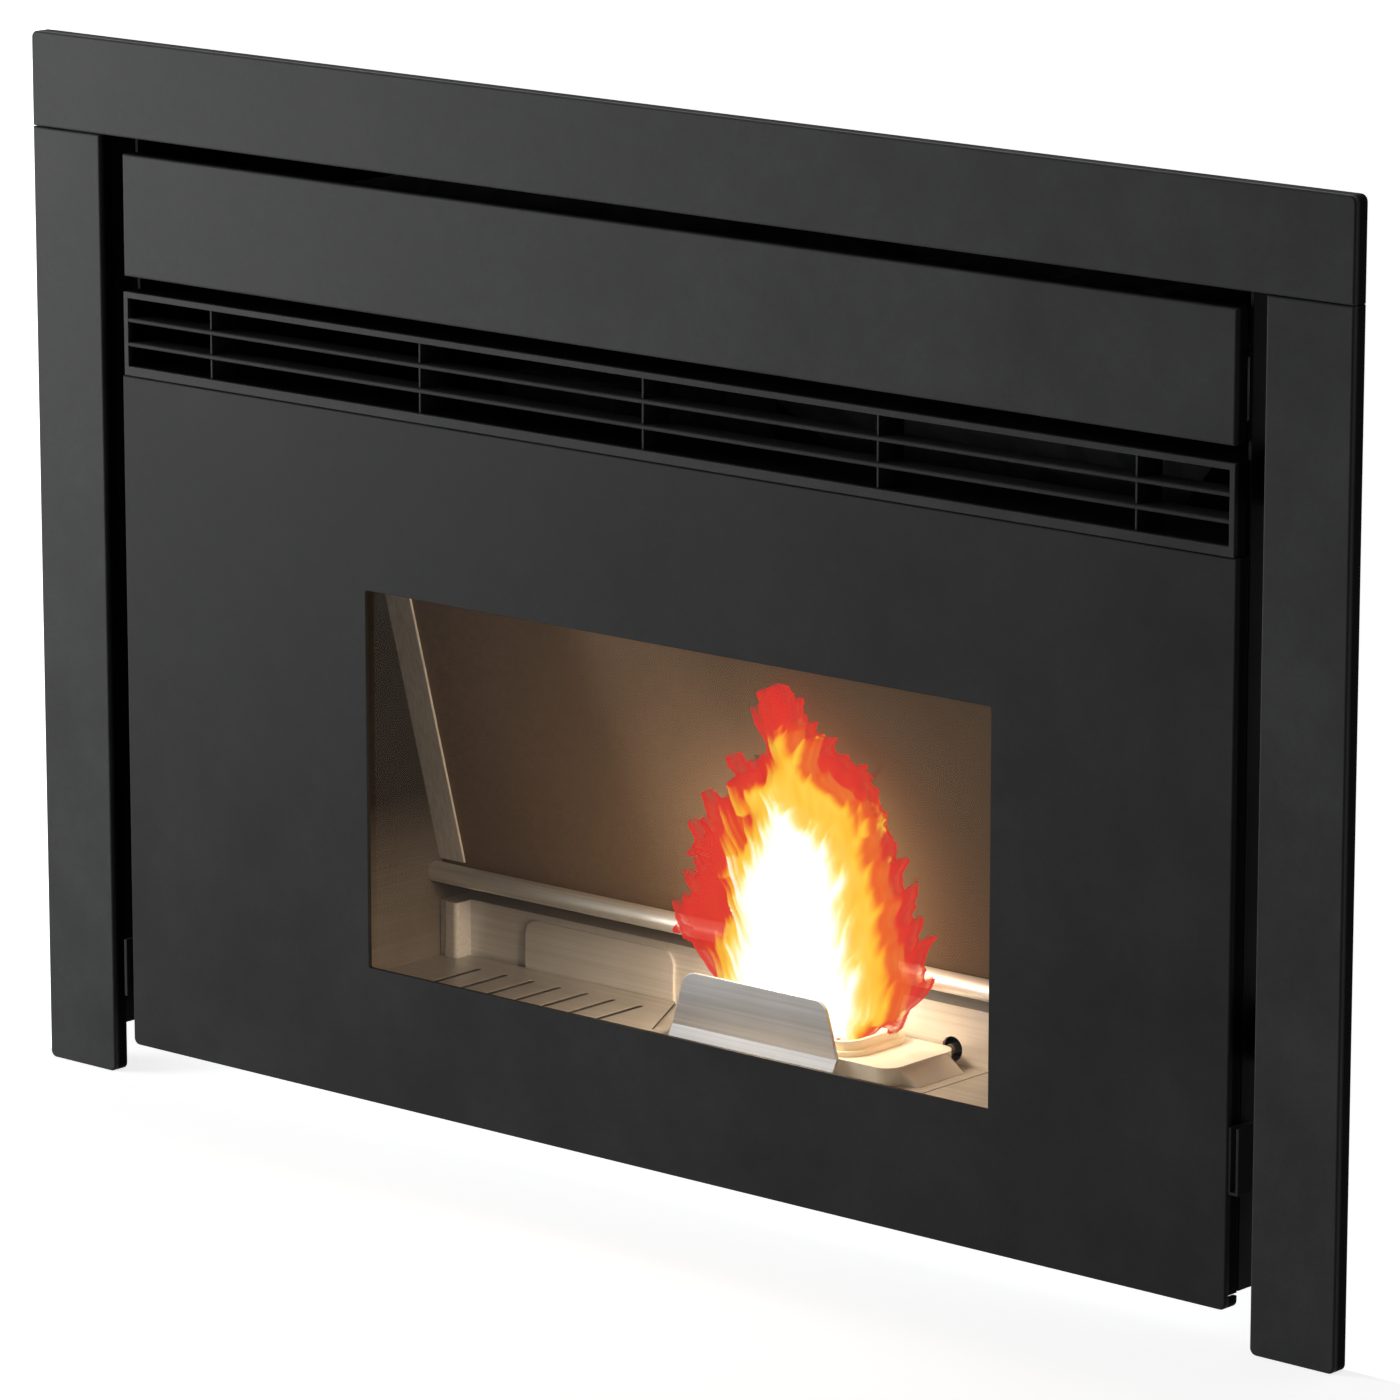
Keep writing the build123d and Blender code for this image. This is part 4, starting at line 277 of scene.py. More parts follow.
def brushed_steel(name, seed, colour, stretch, roughness=0.34, soot=0.35, metallic=0.95,
                  darkened_heights=None, uneven=0.19):
    """Stainless sheet brushed one way, with a thin brown and grey film from the fire.  Darkened
    heights gives two heights: the sheet keeps its colour at the first and is near black, without
    gloss, from the second on."""
    finish = Finish(name, colour, roughness, metallic=metallic)
    brush = finish.noise(1.0, 3.0, 0.6, stretch=stretch, offset=(seed, seed, seed))
    film = finish.noise(16.0, 3.0, 0.5, offset=(seed, 0, seed))
    brushed = finish.ramp(brush, [(0.25, tinted(colour, 0.8)), (0.75, tinted(colour, 1.12))])
    filmed = finish.blend(finish.range(film, 0.0, soot), brushed, (0.16, 0.11, 0.075))
    if darkened_heights:
        # Near black without gloss past the second height: in the grate's slots this is painted
        # shade; the chamber wrapper and burner shield just get darker towards the top.
        height = finish.axis("Z")
        filmed = finish.blend(finish.range(height, 0.0, 0.93, *darkened_heights), filmed,
                              (0.02, 0.017, 0.014))
        finish.set("Metallic", finish.range(height, metallic, 0.0, *darkened_heights))
        finish.set("Specular IOR Level", finish.range(height, 0.5, 0.02, *darkened_heights))
    finish.paint(filmed)
    finish.set("Roughness", finish.range(film, roughness - 0.4 * uneven,
                                         roughness + 0.6 * uneven))
    return finish.relief((brush, 0.000004), rounding=0.0005)


DARKER_FROM_TO_X = (-0.18, -0.01)


def sooted_board(name, seed, colour):
    """Pressed mineral board: flakes a few millimetres wide under patches of soot, and darker from
    left to right over DARKER_FROM_TO_X, down to 0.3 of its colour."""
    finish = Finish(name, colour, 0.95, specular=0.02)
    flakes = finish.node("TexVoronoi", {"Vector": finish.stretched((1, 1, 1.3)),
                                        "Scale": 420.0})
    tone = finish.ramp(flakes.outputs["Color"], [(0.0, tinted(colour, 0.86)),
                                                 (1.0, tinted(colour, 1.12))])
    soot = finish.noise(7.0, 3.0, 0.5, offset=(seed, 0, 0))
    smoked = finish.blend(finish.range(soot, 0.0, 0.4), tone, tinted(colour, 0.75))
    # The board goes darker from left to right, to 0.3 of its colour from x = -0.01 m on.
    finish.paint(finish.blend(finish.range(finish.axis("X"), 0.0, 0.84, *DARKER_FROM_TO_X), smoked,
                              tinted(colour, 0.3)))
    return finish.relief((flakes.outputs["Distance"], 0.00002), rounding=0.001)


def hot_metal(name, seed, colour, roughness, metallic=0.9, glow=0.0):
    """Machined or rolled steel with handling marks and faint heat colours.  Glow is painted
    firelight
    on what stands in the fire: a warm emission in place of the fire's light on it."""
    finish = Finish(name, colour, roughness, metallic=metallic)
    marks = finish.noise(120.0, 4.0, 0.65, stretch=(1, 0.25, 1), offset=(seed, 0, 0))
    tint = finish.noise(22.0, 3.0, offset=(0, seed, 0))
    straw = tuple(channel * f for channel, f in zip(colour, (1.12, 0.98, 0.86)))
    finish.paint(finish.ramp(tint, [(0.3, tinted(colour, 0.82)), (0.55, colour), (0.75, straw)]))
    finish.set("Roughness", finish.range(marks, roughness - 0.06, roughness + 0.1))
    # Painted firelight: the glow is emission standing in for the fire's light falling on the
    # piece.
    finish.set("Emission Color", (1.0, 0.62, 0.28, 1.0)).set("Emission Strength", glow)
    return finish.relief((marks, 0.00006), rounding=0.0005)


def cast_shell(name, seed, colour):
    """Die-cast motor shell: blasted skin with darker stains."""
    finish = Finish(name, colour, 0.5, metallic=0.6)
    blast = finish.noise(900.0, 2.0, 0.6, offset=(seed, 0, 0))
    stain = finish.noise(30.0, 4.0, offset=(0, 0, seed))
    finish.paint(finish.blend(finish.range(stain, 0.0, 0.5), colour, tinted(colour, 0.6)))
    finish.set("Roughness", finish.range(blast, 0.42, 0.6))
    return finish.relief((blast, 0.0001), rounding=0.0012)


def moulded_plastic(name, seed, colour):
    """Spark-eroded plastic: an even pebble with slight flow shading."""
    finish = Finish(name, colour, 0.45, specular=0.4)
    pebble = finish.cells(1500.0)
    flow = finish.noise(25.0, 2.0, offset=(seed, 0, 0))
    finish.paint(finish.ramp(flow, [(0.3, tinted(colour, 0.85)), (0.7, tinted(colour, 1.2))]))
    finish.set("Roughness", finish.range(pebble, 0.36, 0.55, 0.1, 0.6))
    return finish.relief((pebble, 0.00005), rounding=0.0006)


def grey(level, roughness):
    """Settings of a neutral finish."""
    return {"colour": (level, level, level), "roughness": roughness}


def give(node, material):
    mesh = NODES[node].data
    mesh.materials.clear()
    mesh.materials.append(material)


def dress(recipe, **nodes):
    """Give each node its own material from one recipe: keyword is the node, value its settings."""
    for index, (node, settings) in enumerate(nodes.items()):
        seed = 3.7 * (index + 1)
        give(node, recipe(node + "_finish", seed, **settings))


# ---- settings ---------------------------------------------------------------
def colour_setting(name, what, default):
    return FloatVectorProperty(name=name, description="Colour of the " + what, subtype="COLOR",
                               size=3, min=0, max=1, default=default)


class PaintSettings(bpy.types.PropertyGroup):
    surround: colour_setting("Surround paint", "front's satin paint", (0.046, 0.047, 0.048))
    casing: colour_setting("Casing steel", "galvanised casing", (0.46, 0.47, 0.48))
    steel: colour_setting("Chamber steel", "chamber's bright sheet", (0.8, 0.78, 0.74))
    board: colour_setting("Fireproof board", "board behind the fire", (0.285, 0.2, 0.135))


class FireSettings(bpy.types.PropertyGroup):
    glow: FloatProperty(name="Glow", description="Strength of the flame's light", default=1.35,
                        min=0, soft_max=5)
    puff: FloatProperty(name="Flame depth", description="Half the depth of the flame",
                        default=12 * MM, unit="LENGTH", min=0)
    lean: FloatProperty(name="Lean", description="Forward lean of the flame per metre of rise",
                        default=0.16)
    pellets: IntProperty(name="Pellets", description="Pellets in the pot", default=90, min=1)


class StageSettings(bpy.types.PropertyGroup):
    azimuth: FloatProperty(name="Azimuth", description="Camera angle round the insert",
                           default=radians(40.990), subtype="ANGLE")
    elevation: FloatProperty(name="Elevation", description="Camera angle above the floor",
                             default=radians(12.715), subtype="ANGLE")
    distance: FloatProperty(name="Distance", description="Camera to target", default=4.0808,
                            unit="LENGTH")
    target: FloatVectorProperty(name="Target", description="Point in the middle of the picture",
                                subtype="TRANSLATION", size=3, default=(0.0396, FRONT, 0.29169))
    lens: FloatProperty(name="Lens", description="Focal length on a 36 mm sensor", default=193.97,
                        unit="CAMERA")


# ---- operators --------------------------------------------------------------
class INSERT_OT_paint_front(bpy.types.Operator):
    """Paint the surround, the drawer front, the grille and the door"""
    bl_idname = "insert.paint_front"
    bl_label = "Paint front"

    def execute(self, context):
        paint = tuple(context.scene.insert_paint.surround)
        faces = {"surround_header": {"colour": paint}, "surround_left_leg": {"colour": paint},
                 "surround_right_leg": {"colour": paint}, "drawer_front": {"colour": paint},
                 "door_panel": {"colour": tinted(paint, 0.58), "spread": 0.22},
                 "air_grille_frame": {"colour": tinted(paint, 0.92)}}
        # Each face's depth: behind it, in the folds and gaps, its paint gets painted shade.
        for node, settings in faces.items():
            settings["front"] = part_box(node)[0].y
        # Painted shade: casing_left, casing_right and surround_frame are near-black sheets that
        # stand in for the shade in the gaps beside the door and legs.
        dress(baked_paint, **faces, casing_left=grey(0.005, 0.65), casing_right=grey(0.005, 0.65),
              surround_frame=grey(0.003, 0.7), chamber_mouth_frame=grey(0.012, 0.6),
              door_inner_frame=grey(0.014, 0.6),
              door_side_tab={"colour": tinted(paint, 0.5)},
              door_pull_bracket={"colour": tinted(paint, 0.6)})
        dress(hot_metal, door_hinge_ears=grey(0.1, 0.5), door_hinge_lugs=grey(0.1, 0.5),
              door_hinge_pins={"colour": (0.45, 0.44, 0.42), "roughness": 0.3},
              latch_tongue=grey(0.4, 0.35),
              latch_clip={"colour": (0.3, 0.3, 0.31), "roughness": 0.3})
        return {"FINISHED"}


BLADE = 2.4 * MM
BLADE_FALL = 2.0 * MM
DIVIDER = 1.2 * MM
DIVIDER_BEHIND_NOSE = 3 * MM
DIVIDERS_AT = (-331, -169, -4, 161, 333)


def bars(section, x0, x1):
    """A six-cornered section in Y and Z drawn out from each x0 to each x1, closed at both ends:
    point (n, i, j) is (x_i of bar n, y_j, z_j)."""
    section, ends = np.array(section), np.stack([x0, x1], axis=-1)
    points = np.empty((len(ends), 2, 6, 3))
    points[..., 0] = ends[:, :, None]
    points[..., 1:] = section
    sides = grid_faces(2, 6, wrap_cols=True)[:, ::-1]
    cap = np.array([[0, 1, 2, 3], [0, 3, 4, 5]])
    faces = np.concatenate([sides, cap[:, ::-1], cap + 6])
    step = 12 * np.arange(len(ends))[:, None, None]
    return points.reshape(-1, 3), (faces[None] + step).reshape(-1, 4)


class INSERT_OT_hang_blades(bpy.types.Operator):
    """Two falling blades of the air grille and the five upright dividers behind their noses"""
    bl_idname = "insert.hang_blades"
    bl_label = "Hang grille blades"

    def execute(self, context):
        low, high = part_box("air_grille_blades")
        front, back, nose = low.y, high.y, BLADE / 4
        gap = (high.z - low.z - 2 * BLADE) / 3
        parts = []
        for z in (low.z + gap, low.z + 2 * gap + BLADE):
            section = [(front + nose, z), (back, z - BLADE_FALL), (back, z - BLADE_FALL + BLADE),
                       (front + nose, z + BLADE), (front, z + BLADE - nose), (front, z + nose)]
            parts.append(bars(section, [low.x], [high.x]))
        front += DIVIDER_BEHIND_NOSE
        middle = (low.z + high.z) / 2
        upright = [(front, low.z), (back, low.z), (back, high.z), (front, high.z),
                   (front, middle + nose), (front, middle - nose)]
        centres = np.array(DIVIDERS_AT) * MM
        parts.append(bars(upright, centres - DIVIDER / 2, centres + DIVIDER / 2))
        start = np.cumsum([0] + [len(points) for points, _ in parts])
        faces = np.concatenate([faces + first for (_, faces), first in zip(parts, start)])
        paint = tinted(tuple(context.scene.insert_paint.surround), 0.85)
        piece = make_piece("grille_blades", np.concatenate([points for points, _ in parts]), faces,
                           baked_paint("grille_blades_finish", 9.1, paint, roughness=0.55),
                           "structure", smooth=False)
        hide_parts("air_grille_blades")
        return {"FINISHED"}


class INSERT_OT_finish_casing(bpy.types.Operator):
    """Give the casing, the hopper, the drawer tray and the rails their zinc finish"""
    bl_idname = "insert.finish_casing"
    bl_label = "Finish casing"

    def execute(self, context):
        zinc = tuple(context.scene.insert_paint.casing)
        shades = {"casing_back": 1, "casing_top": 1, "casing_base": 1, "base_plinth": 0.8,
                  "hopper": 1, "drawer_tray": 1, "drawer_rails": 1, "control_box": 0.9,
                  "room_fan_housing": 0.9}
        dress(zinc_sheet, **{node: {"colour": tinted(zinc, shade)}
                             for node, shade in shades.items()})
        return {"FINISHED"}


class INSERT_OT_finish_chamber(bpy.types.Operator):
    """Finish the fire chamber, its grate and its burner"""
    bl_idname = "insert.finish_chamber"
    bl_label = "Finish chamber"

    def execute(self, context):
        paint = context.scene.insert_paint
        steel = tuple(paint.steel)
        across, deep, upright = (6, 500, 500), (500, 6, 500), (500, 500, 6)
        satin = {"colour": steel, "stretch": across, "metallic": 0.2, "soot": 0.1, "uneven": 0.06}
        floor = {**satin, "colour": tinted(steel, 0.64)}
        # Painted shade in the grate's slots: below the plate's top face the sheet goes near black.
        slots = {**floor, "darkened_heights": (73.8 * MM, 73.4 * MM)}
        dress(brushed_steel, lower_wall={**satin, "colour": tinted(steel, 1.24), "metallic": 0.05},
              slotted_grate=slots, burner_plate=floor, side_floor_plate=floor, floor_frame=floor,
              chamber_wrapper={"colour": (0.3, 0.265, 0.225), "stretch": deep, "roughness": 0.5,
                               "metallic": 0.2, "darkened_heights": (70 * MM, 175 * MM), "uneven": 0.05},
              chamber_rear_wall={"colour": (0.12, 0.1, 0.08), "stretch": upright, "roughness": 0.6,
                                 "metallic": 0.5},
              baffle_strips={"colour": tinted(steel, 1.15), "stretch": upright, "metallic": 0.2,
                             "soot": 0.15},
              air_tube={"colour": tinted(steel, 1.15), "stretch": across, "roughness": 0.42,
                        "metallic": 0.6, "soot": 0.05, "uneven": 0.04},
              burner_shield={"colour": (0.74, 0.77, 0.83), "stretch": across, "roughness": 0.3,
                             "soot": 0.02, "metallic": 0.6, "darkened_heights": (104 * MM, 200 * MM),
                             "uneven": 0.02},
              ash_pan={"colour": tinted(steel, 0.15), "stretch": across, "soot": 0.6,
                       "metallic": 0.3})
        dress(sooted_board, baffle_panel={"colour": tuple(paint.board)})
        dress(hot_metal,
              # Painted firelight: the glow on the pot holder and the burn pot stands in for the
              # fire's light on them.
              pot_holder={"colour": (0.92, 0.9, 0.84), "roughness": 0.4, "metallic": 0.2,
                          "glow": 0.06},
              burn_pot={"colour": (0.95, 0.9, 0.75), "roughness": 0.45, "metallic": 0.1,
                        "glow": 0.3},
              flame_sensor={"colour": (0.3, 0.28, 0.26), "roughness": 0.4},
              igniter={"colour": (0.5, 0.47, 0.42), "roughness": 0.5})
        return {"FINISHED"}


class INSERT_OT_finish_gear(bpy.types.Operator):
    """Finish the fans, the motors, the feed screw, the pipes and the inlet"""
    bl_idname = "insert.finish_gear"
    bl_label = "Finish gear"

    def execute(self, context):
        dress(hot_metal,
              auger_tube={"colour": (0.04, 0.035, 0.03), "roughness": 0.7, "metallic": 0.3},
              auger_screw={"colour": (0.1, 0.09, 0.08), "roughness": 0.5},
              smoke_fan_housing={"colour": (0.4, 0.4, 0.41), "roughness": 0.4},
              smoke_fan_wheel={"colour": (0.4, 0.38, 0.35), "roughness": 0.4},
              room_fan_wheel={"colour": (0.55, 0.55, 0.56), "roughness": 0.35},
              flue_spigot={"colour": (0.45, 0.44, 0.43), "roughness": 0.35},
              air_intake_spigot=grey(0.45, 0.35))
        dress(cast_shell, auger_motor={"colour": (0.12, 0.12, 0.13)},
              smoke_fan_motor={"colour": (0.14, 0.14, 0.15)},
              room_fan_motor={"colour": (0.13, 0.13, 0.14)})
        dress(moulded_plastic, mains_inlet={"colour": (0.02, 0.02, 0.02)},
              switch_rocker={"colour": (0.028, 0.028, 0.028)})
        return {"FINISHED"}


def glass_finish():
    """Clear ceramic glass: sight goes straight through, the face mirrors a little."""
    finish = Finish("ceramic_glass_finish", (1, 1, 1), 0.03)
    finish.nodes.remove(finish.shader)
    smear = finish.noise(12.0, 4.0, 0.6, stretch=(1, 1, 0.5))
    through = finish.node("BsdfTransparent", {
        "Color": finish.ramp(smear, [(0.35, (0.97, 0.965, 0.955)), (0.7, (0.93, 0.92, 0.9))])})
    mirror = finish.node("BsdfGlossy", {
        "Color": (1, 1, 1, 1), "Roughness": finish.range(smear, 0.0, 0.05, 0.45, 0.8)})
    inner = finish.node("NewGeometry").outputs["Backfacing"]
    fresnel = finish.node("Fresnel", {"IOR": 1.14}).outputs[0]
    share = finish.math("MULTIPLY", fresnel, finish.math("SUBTRACT", 1.0, inner))
    mixed = finish.node("MixShader", {0: share, 1: through.outputs[0], 2: mirror.outputs[0]})
    return finish.show(mixed.outputs[0])


def rope_finish():
    """Braided glass-fibre rope, grey from the fire: strands crossing on the piece's own map."""
    finish = Finish("braided_seal_finish", (0.07, 0.068, 0.064), 0.85, specular=0.15)
    own = finish.node("UVMap").outputs["UV"]
    fibre = finish.node("TexNoise", {"Vector": own, "Scale": 9.0, "Detail": 3.0})
    finish.paint(finish.ramp(fibre.outputs["Fac"], [(0.3, (0.035, 0.034, 0.032)),
                                                    (0.7, (0.13, 0.125, 0.118))]))
    return finish.relief((fibre.outputs["Fac"], 0.0002))


def tape_finish():
    """Woven black fibre tape."""
    finish = Finish("glass_tape_finish", (0.012, 0.012, 0.012), 0.9, specular=0.15)
    own = finish.node("UVMap").outputs["UV"]
    weft = finish.node("TexWave", {"Vector": own, "Scale": 3.0, "Distortion": 0.6, "Detail": 1.0},
                       bands_direction="X")
    finish.paint(finish.ramp(weft.outputs["Fac"], [(0.2, (0.006, 0.006, 0.006)),
                                                   (0.8, (0.022, 0.022, 0.021))]))
    return finish.relief((weft.outputs["Fac"], 0.0002))


def ring_path(x0, x1, z0, z1, radius, step):
    """Rounded rectangle in X and Z as points and outward normals: straights and quarter arcs,
    walked anticlockwise, with a point about every step."""
    corners = [(x1 - radius, z1 - radius, 0), (x0 + radius, z1 - radius, 1),
               (x0 + radius, z0 + radius, 2), (x1 - radius, z0 + radius, 3)]
    runs = []
    for (x, z, quarter), (after_x, after_z, _) in zip(corners, corners[1:] + corners[:1]):
        turn = pi / 2 * (quarter + np.linspace(0, 1, max(4, round(radius * pi / 2 / step))))
        arc = np.stack([x + radius * np.cos(turn), z + radius * np.sin(turn),
                        np.cos(turn), np.sin(turn)], axis=-1)
        gap = np.hypot(after_x - x, after_z - z)
        share = np.linspace(0, 1, max(2, round(gap / step)))[1:-1, None]
        out = arc[-1, 2:]
        line = np.hstack([arc[-1, :2] + share * np.array([after_x - x, after_z - z]),
                          np.repeat(out[None], len(share), axis=0)])
        runs += [arc, line]
    return np.concatenate(runs)


def swept_ring(path, across, depth, centre_y, section, relief=0.0, strands=0.0):
    """A section carried round a ring: point (i, j) is path_i + normal_i * across/2 * a_j, at
    depth centre_y + depth/2 * b_j, with a and b swollen by
    relief * |sin(strands s_i + t_j) sin(strands s_i - t_j)|."""
    run = np.concatenate([[0], np.cumsum(np.hypot(*np.diff(path[:, :2], axis=0).T))])
    turn = 2 * pi * np.arange(len(section)) / len(section)
    phase = strands * run[:, None]
    swell = 1 + relief * np.abs(np.sin(phase + turn) * np.sin(phase - turn))
    a = section[:, 0] * swell * across / 2
    b = section[:, 1] * swell * depth / 2
    points = np.stack([path[:, 0:1] + path[:, 2:3] * a, centre_y + b,
                       path[:, 1:2] + path[:, 3:4] * a], axis=-1)
    faces = grid_faces(len(path), len(section), wrap_rows=True, wrap_cols=True)
    return points, faces, run


def lay_ring(name, node, radius, width, section, material, step, relief=0.0, strands=0.0):
    """Set a swept ring in the box of the node that it stands for."""
    low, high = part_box(node)
    path = ring_path(low.x + width / 2, high.x - width / 2, low.z + width / 2, high.z - width / 2,
                     radius, step)
    shrink = 1 / (1 + relief)
    points, faces, run = swept_ring(path, width * shrink, (high.y - low.y) * shrink,
                                    (low.y + high.y) / 2, section, relief, strands)
    along, about = np.meshgrid(run * 100, np.linspace(0, 4, len(section)), indexing="ij")
    piece = make_piece(name, points, faces, material, "door",
                       uv=np.stack([along, about], axis=-1))
    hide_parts(node)


class INSERT_OT_glaze_door(bpy.types.Operator):
    """Glass of the door, its fibre tape and the braided seal round the chamber's mouth"""
    bl_idname = "insert.glaze_door"
    bl_label = "Glaze door"

    def execute(self, context):
        give("door_glass", glass_finish())
        oval = circle(2 * pi * np.arange(20) / 20)
        lay_ring("braided_seal", "door_seal", 7 * MM, 7 * MM, oval, rope_finish(),
                 1.2 * MM, relief=0.16, strands=pi / (6 * MM))
        oval = circle(2 * pi * (np.arange(16) + 0.5) / 16)
        flat = np.sign(oval) * np.abs(oval) ** 0.35
        lay_ring("woven_tape", "glass_tape", 2 * MM, 12 * MM, flat, tape_finish(),
                 8 * MM)
        return {"FINISHED"}


# ---- fasteners --------------------------------------------------------------
PAN_HEAD = np.array([(0, 0), (1, 0), (1, 0.3), (0.93, 0.62), (0.72, 0.9), (0.42, 1), (0.38, 0.95),
                     (0.3, 0.4), (0, 0.35)])


def screw_heads(name, places, axis, radius, height, body="structure"):
    """Pan-head screws with a round driver recess, at places, with their heads along axis."""
    points, faces = turned_profile(PAN_HEAD * (radius, height), 20)
    up = np.array(axis, dtype=float)
    side = np.array([up[1], up[2], up[0]])
    turn = np.stack([side, np.cross(up, side), up], axis=-1)
    turns = np.repeat(turn[None], len(places), axis=0)
    matrices = np.concatenate([turns, np.array(places)[:, :, None]], axis=2)
    points, faces = copies(points, faces, matrices)
    steel = hot_metal(name + "_finish", 2.3, (0.5, 0.49, 0.46), 0.32)
    make_piece(name, points, faces, steel, body, weld=True)


class INSERT_OT_set_screws(bpy.types.Operator):
    """Screw heads on the back, the top, the flue collar and the door's inner frame"""
    bl_idname = "insert.set_screws"
    bl_label = "Set screws"

    def execute(self, context):
        edge, end = 7 * MM, 30 * MM
        low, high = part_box("casing_back")
        back = [(x, high.y, z) for x in (low.x + edge, high.x - edge)
                for z in np.linspace(low.z + end, high.z - end, 5)]
        from_left, from_right, foot = 100 * MM, 160 * MM, low.z + 10 * MM
        back += [(x, high.y, foot) for x in np.linspace(low.x + from_left, high.x - from_right, 4)]
        screw_heads("back_screws", back, (0, 1, 0), 4 * MM, 2.4 * MM)
        low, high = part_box("casing_top")
        from_front, from_back = 60 * MM, 40 * MM
        lid = [(x, y, high.z) for x in (low.x + edge, high.x - edge)
               for y in np.linspace(low.y + from_front, high.y - from_back, 4)]
        screw_heads("lid_screws", lid, (0, 0, 1), 4 * MM, 2.4 * MM)
        collars = []
        for node, reach in (("flue_spigot", 46 * MM), ("air_intake_spigot", 31 * MM)):
            low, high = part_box(node)
            turns = radians(45) + np.arange(4) * pi / 2
            x, z = (low.x + high.x) / 2, (low.z + high.z) / 2
            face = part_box("casing_back")[1].y + 2 * MM
            collars += [(x + reach * cos(t), face, z + reach * sin(t)) for t in turns]
        screw_heads("collar_screws", collars, (0, 1, 0), 3 * MM, 2 * MM)
        low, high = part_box("door_inner_frame")
        glass_low, glass_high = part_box("door_glass")
        beside, above = 21 * MM, 22 * MM
        left, right = glass_low.x - beside, glass_high.x + beside
        top, bottom = glass_high.z + above, glass_low.z - above
        ring = [(x, high.y, z) for z in (top, bottom) for x in np.linspace(left, right, 4)]
        ring += [(x, high.y, z) for x in (left, right) for z in np.linspace(bottom, top, 4)[1:-1]]
        screw_heads("glass_frame_screws", ring, (0, 1, 0), 3.4 * MM, 1.8 * MM, "door")
        return {"FINISHED"}


# ---- fire -------------------------------------------------------------------
# Edges of the fire in millimetres, as (height, left, right), and licks that stand out of them, as
# (foot x, foot z, tip x, tip z, half width at the foot).
RED_EDGE = [(84, -18, 76), (92, -22, 84), (100, -25, 98), (107, -26, 108), (113, -32, 115),
            (122, -39, 121), (130, -44, 124), (138, -48, 125), (144, -50, 124), (150, -45, 123),
            (158, -40, 122), (166, -35, 120), (175, -29, 118), (187, -30, 116), (193, -28, 114),
            (200, -19, 112), (207, -18, 110), (213, -14, 108), (219, -4, 106), (228, 1, 105),
            (234, 10, 103), (240, 18, 99), (246, 24, 94), (251, 30, 86), (256, 29, 76),
            (262, 28, 66), (268, 27, 58), (275, 25, 54), (281, 27, 52), (285, 31, 48),
            (289, 40, 41)]
RED_LICKS = [(-44, 128, -56, 149, 9), (-25, 178, -38, 200, 9), (-12, 200, -24, 219, 8),
             (6, 222, 2, 245, 7), (60, 254, 80, 267, 9), (88, 238, 110, 253, 10),
             (110, 166, 132, 190, 10), (103, 212, 114, 228, 6), (108, 194, 121, 213, 7),
             (117, 138, 131, 160, 8), (-34, 152, -46, 172, 7)]
YELLOW_EDGE = [(84, -20, 74), (98, -22, 90), (108, -24, 104), (125, -23, 108), (137, -17, 107),
               (150, -8, 105), (162, -6, 105), (175, -8, 104), (183, -8, 103), (190, 4, 102),
               (197, 12, 100), (206, 14, 98), (211, 13, 97), (218, 10, 96), (222, 12, 94),
               (228, 20, 90), (233, 27, 78), (237, 31, 66), (243, 33, 60), (250, 35, 56),
               (257, 37, 54), (263, 40, 50), (270, 45, 46)]
YELLOW_LICKS = [(10, 210, 1, 234, 8), (96, 212, 100, 240, 7), (84, 212, 88, 238, 7),
                (54, 248, 66, 264, 6), (0, 170, -4, 216, 10), (44, 244, 46, 277, 8)]
WHITE_EDGE = [(84, -12, 70), (98, -14, 82), (110, -13, 86), (125, -10, 85), (137, -3, 82),
              (150, -3, 80), (162, -4, 80), (172, 0, 81), (180, 8, 81), (187, 15, 80),
              (198, 20, 77), (205, 22, 70), (211, 26, 58), (217, 30, 48), (223, 35, 40)]
WHITE_LICKS = [(34, 204, 35, 230, 8), (62, 194, 67, 216, 8), (2, 158, -3, 184, 8)]
# The grid that the fire is worked out on, in millimetres, the depth in metres of the flame's
# middle sheet at the height where its lean starts, and the rise over which it comes to full depth.
FLAME_FROM_TO_X = (-72.0, 134.0)
FLAME_FROM_TO_Z = (84.0, 298.0)
FLAME_PITCH = 1.25
FLAME_AXIS = 40.0
FLAME_MIDDLE = FRONT + 96 * MM
LEAN_FROM = 92.0
FULL_DEPTH_RISE = 14.0
OUTSIDE = -30.0


def within(x, z, edges, shapes):
    """Distance inside the fire in millimetres, the larger of two: min(x - left(z), right(z) - x)
    between the edges, which run straight from one height to the next, and, in a lick,
    w(t) - |x - c(t)|, with t the share of its rise, c bowing from foot to tip as t^1.4, and
    w = half width * (1 - t)."""
    height, left, right = np.array(edges, dtype=float).T
    inside = np.minimum(x - np.interp(z, height, left), np.interp(z, height, right) - x)
    inside = np.where((z < height[0]) | (z > height[-1]), OUTSIDE, inside)
    foot_x, foot_z, tip_x, tip_z, half = np.array(shapes, dtype=float).T[:, :, None, None]
    rise = (z - foot_z) / (tip_z - foot_z)
    up = np.clip(rise, 0.0, 1.0)
    lick = half * (1 - up) - np.abs(x - foot_x - (tip_x - foot_x) * up ** 1.4)
    lick = np.where((rise < 0) | (rise > 1), OUTSIDE, lick)
    return np.maximum(inside, lick.max(axis=0))


def wavering(x, z):
    """The grid pushed sideways and up by a few sine waves, so that no edge is straight."""
    push = 0.9 * np.sin(z / 6.1 + x / 13) + 0.5 * np.sin(z / 3.1 - x / 7 + 1.3)
    lift = 1.2 * np.sin(x / 4.3 + z / 29) + 0.8 * np.sin(x / 2.3 - z / 19 + 2.0)
    return x + push, z + lift


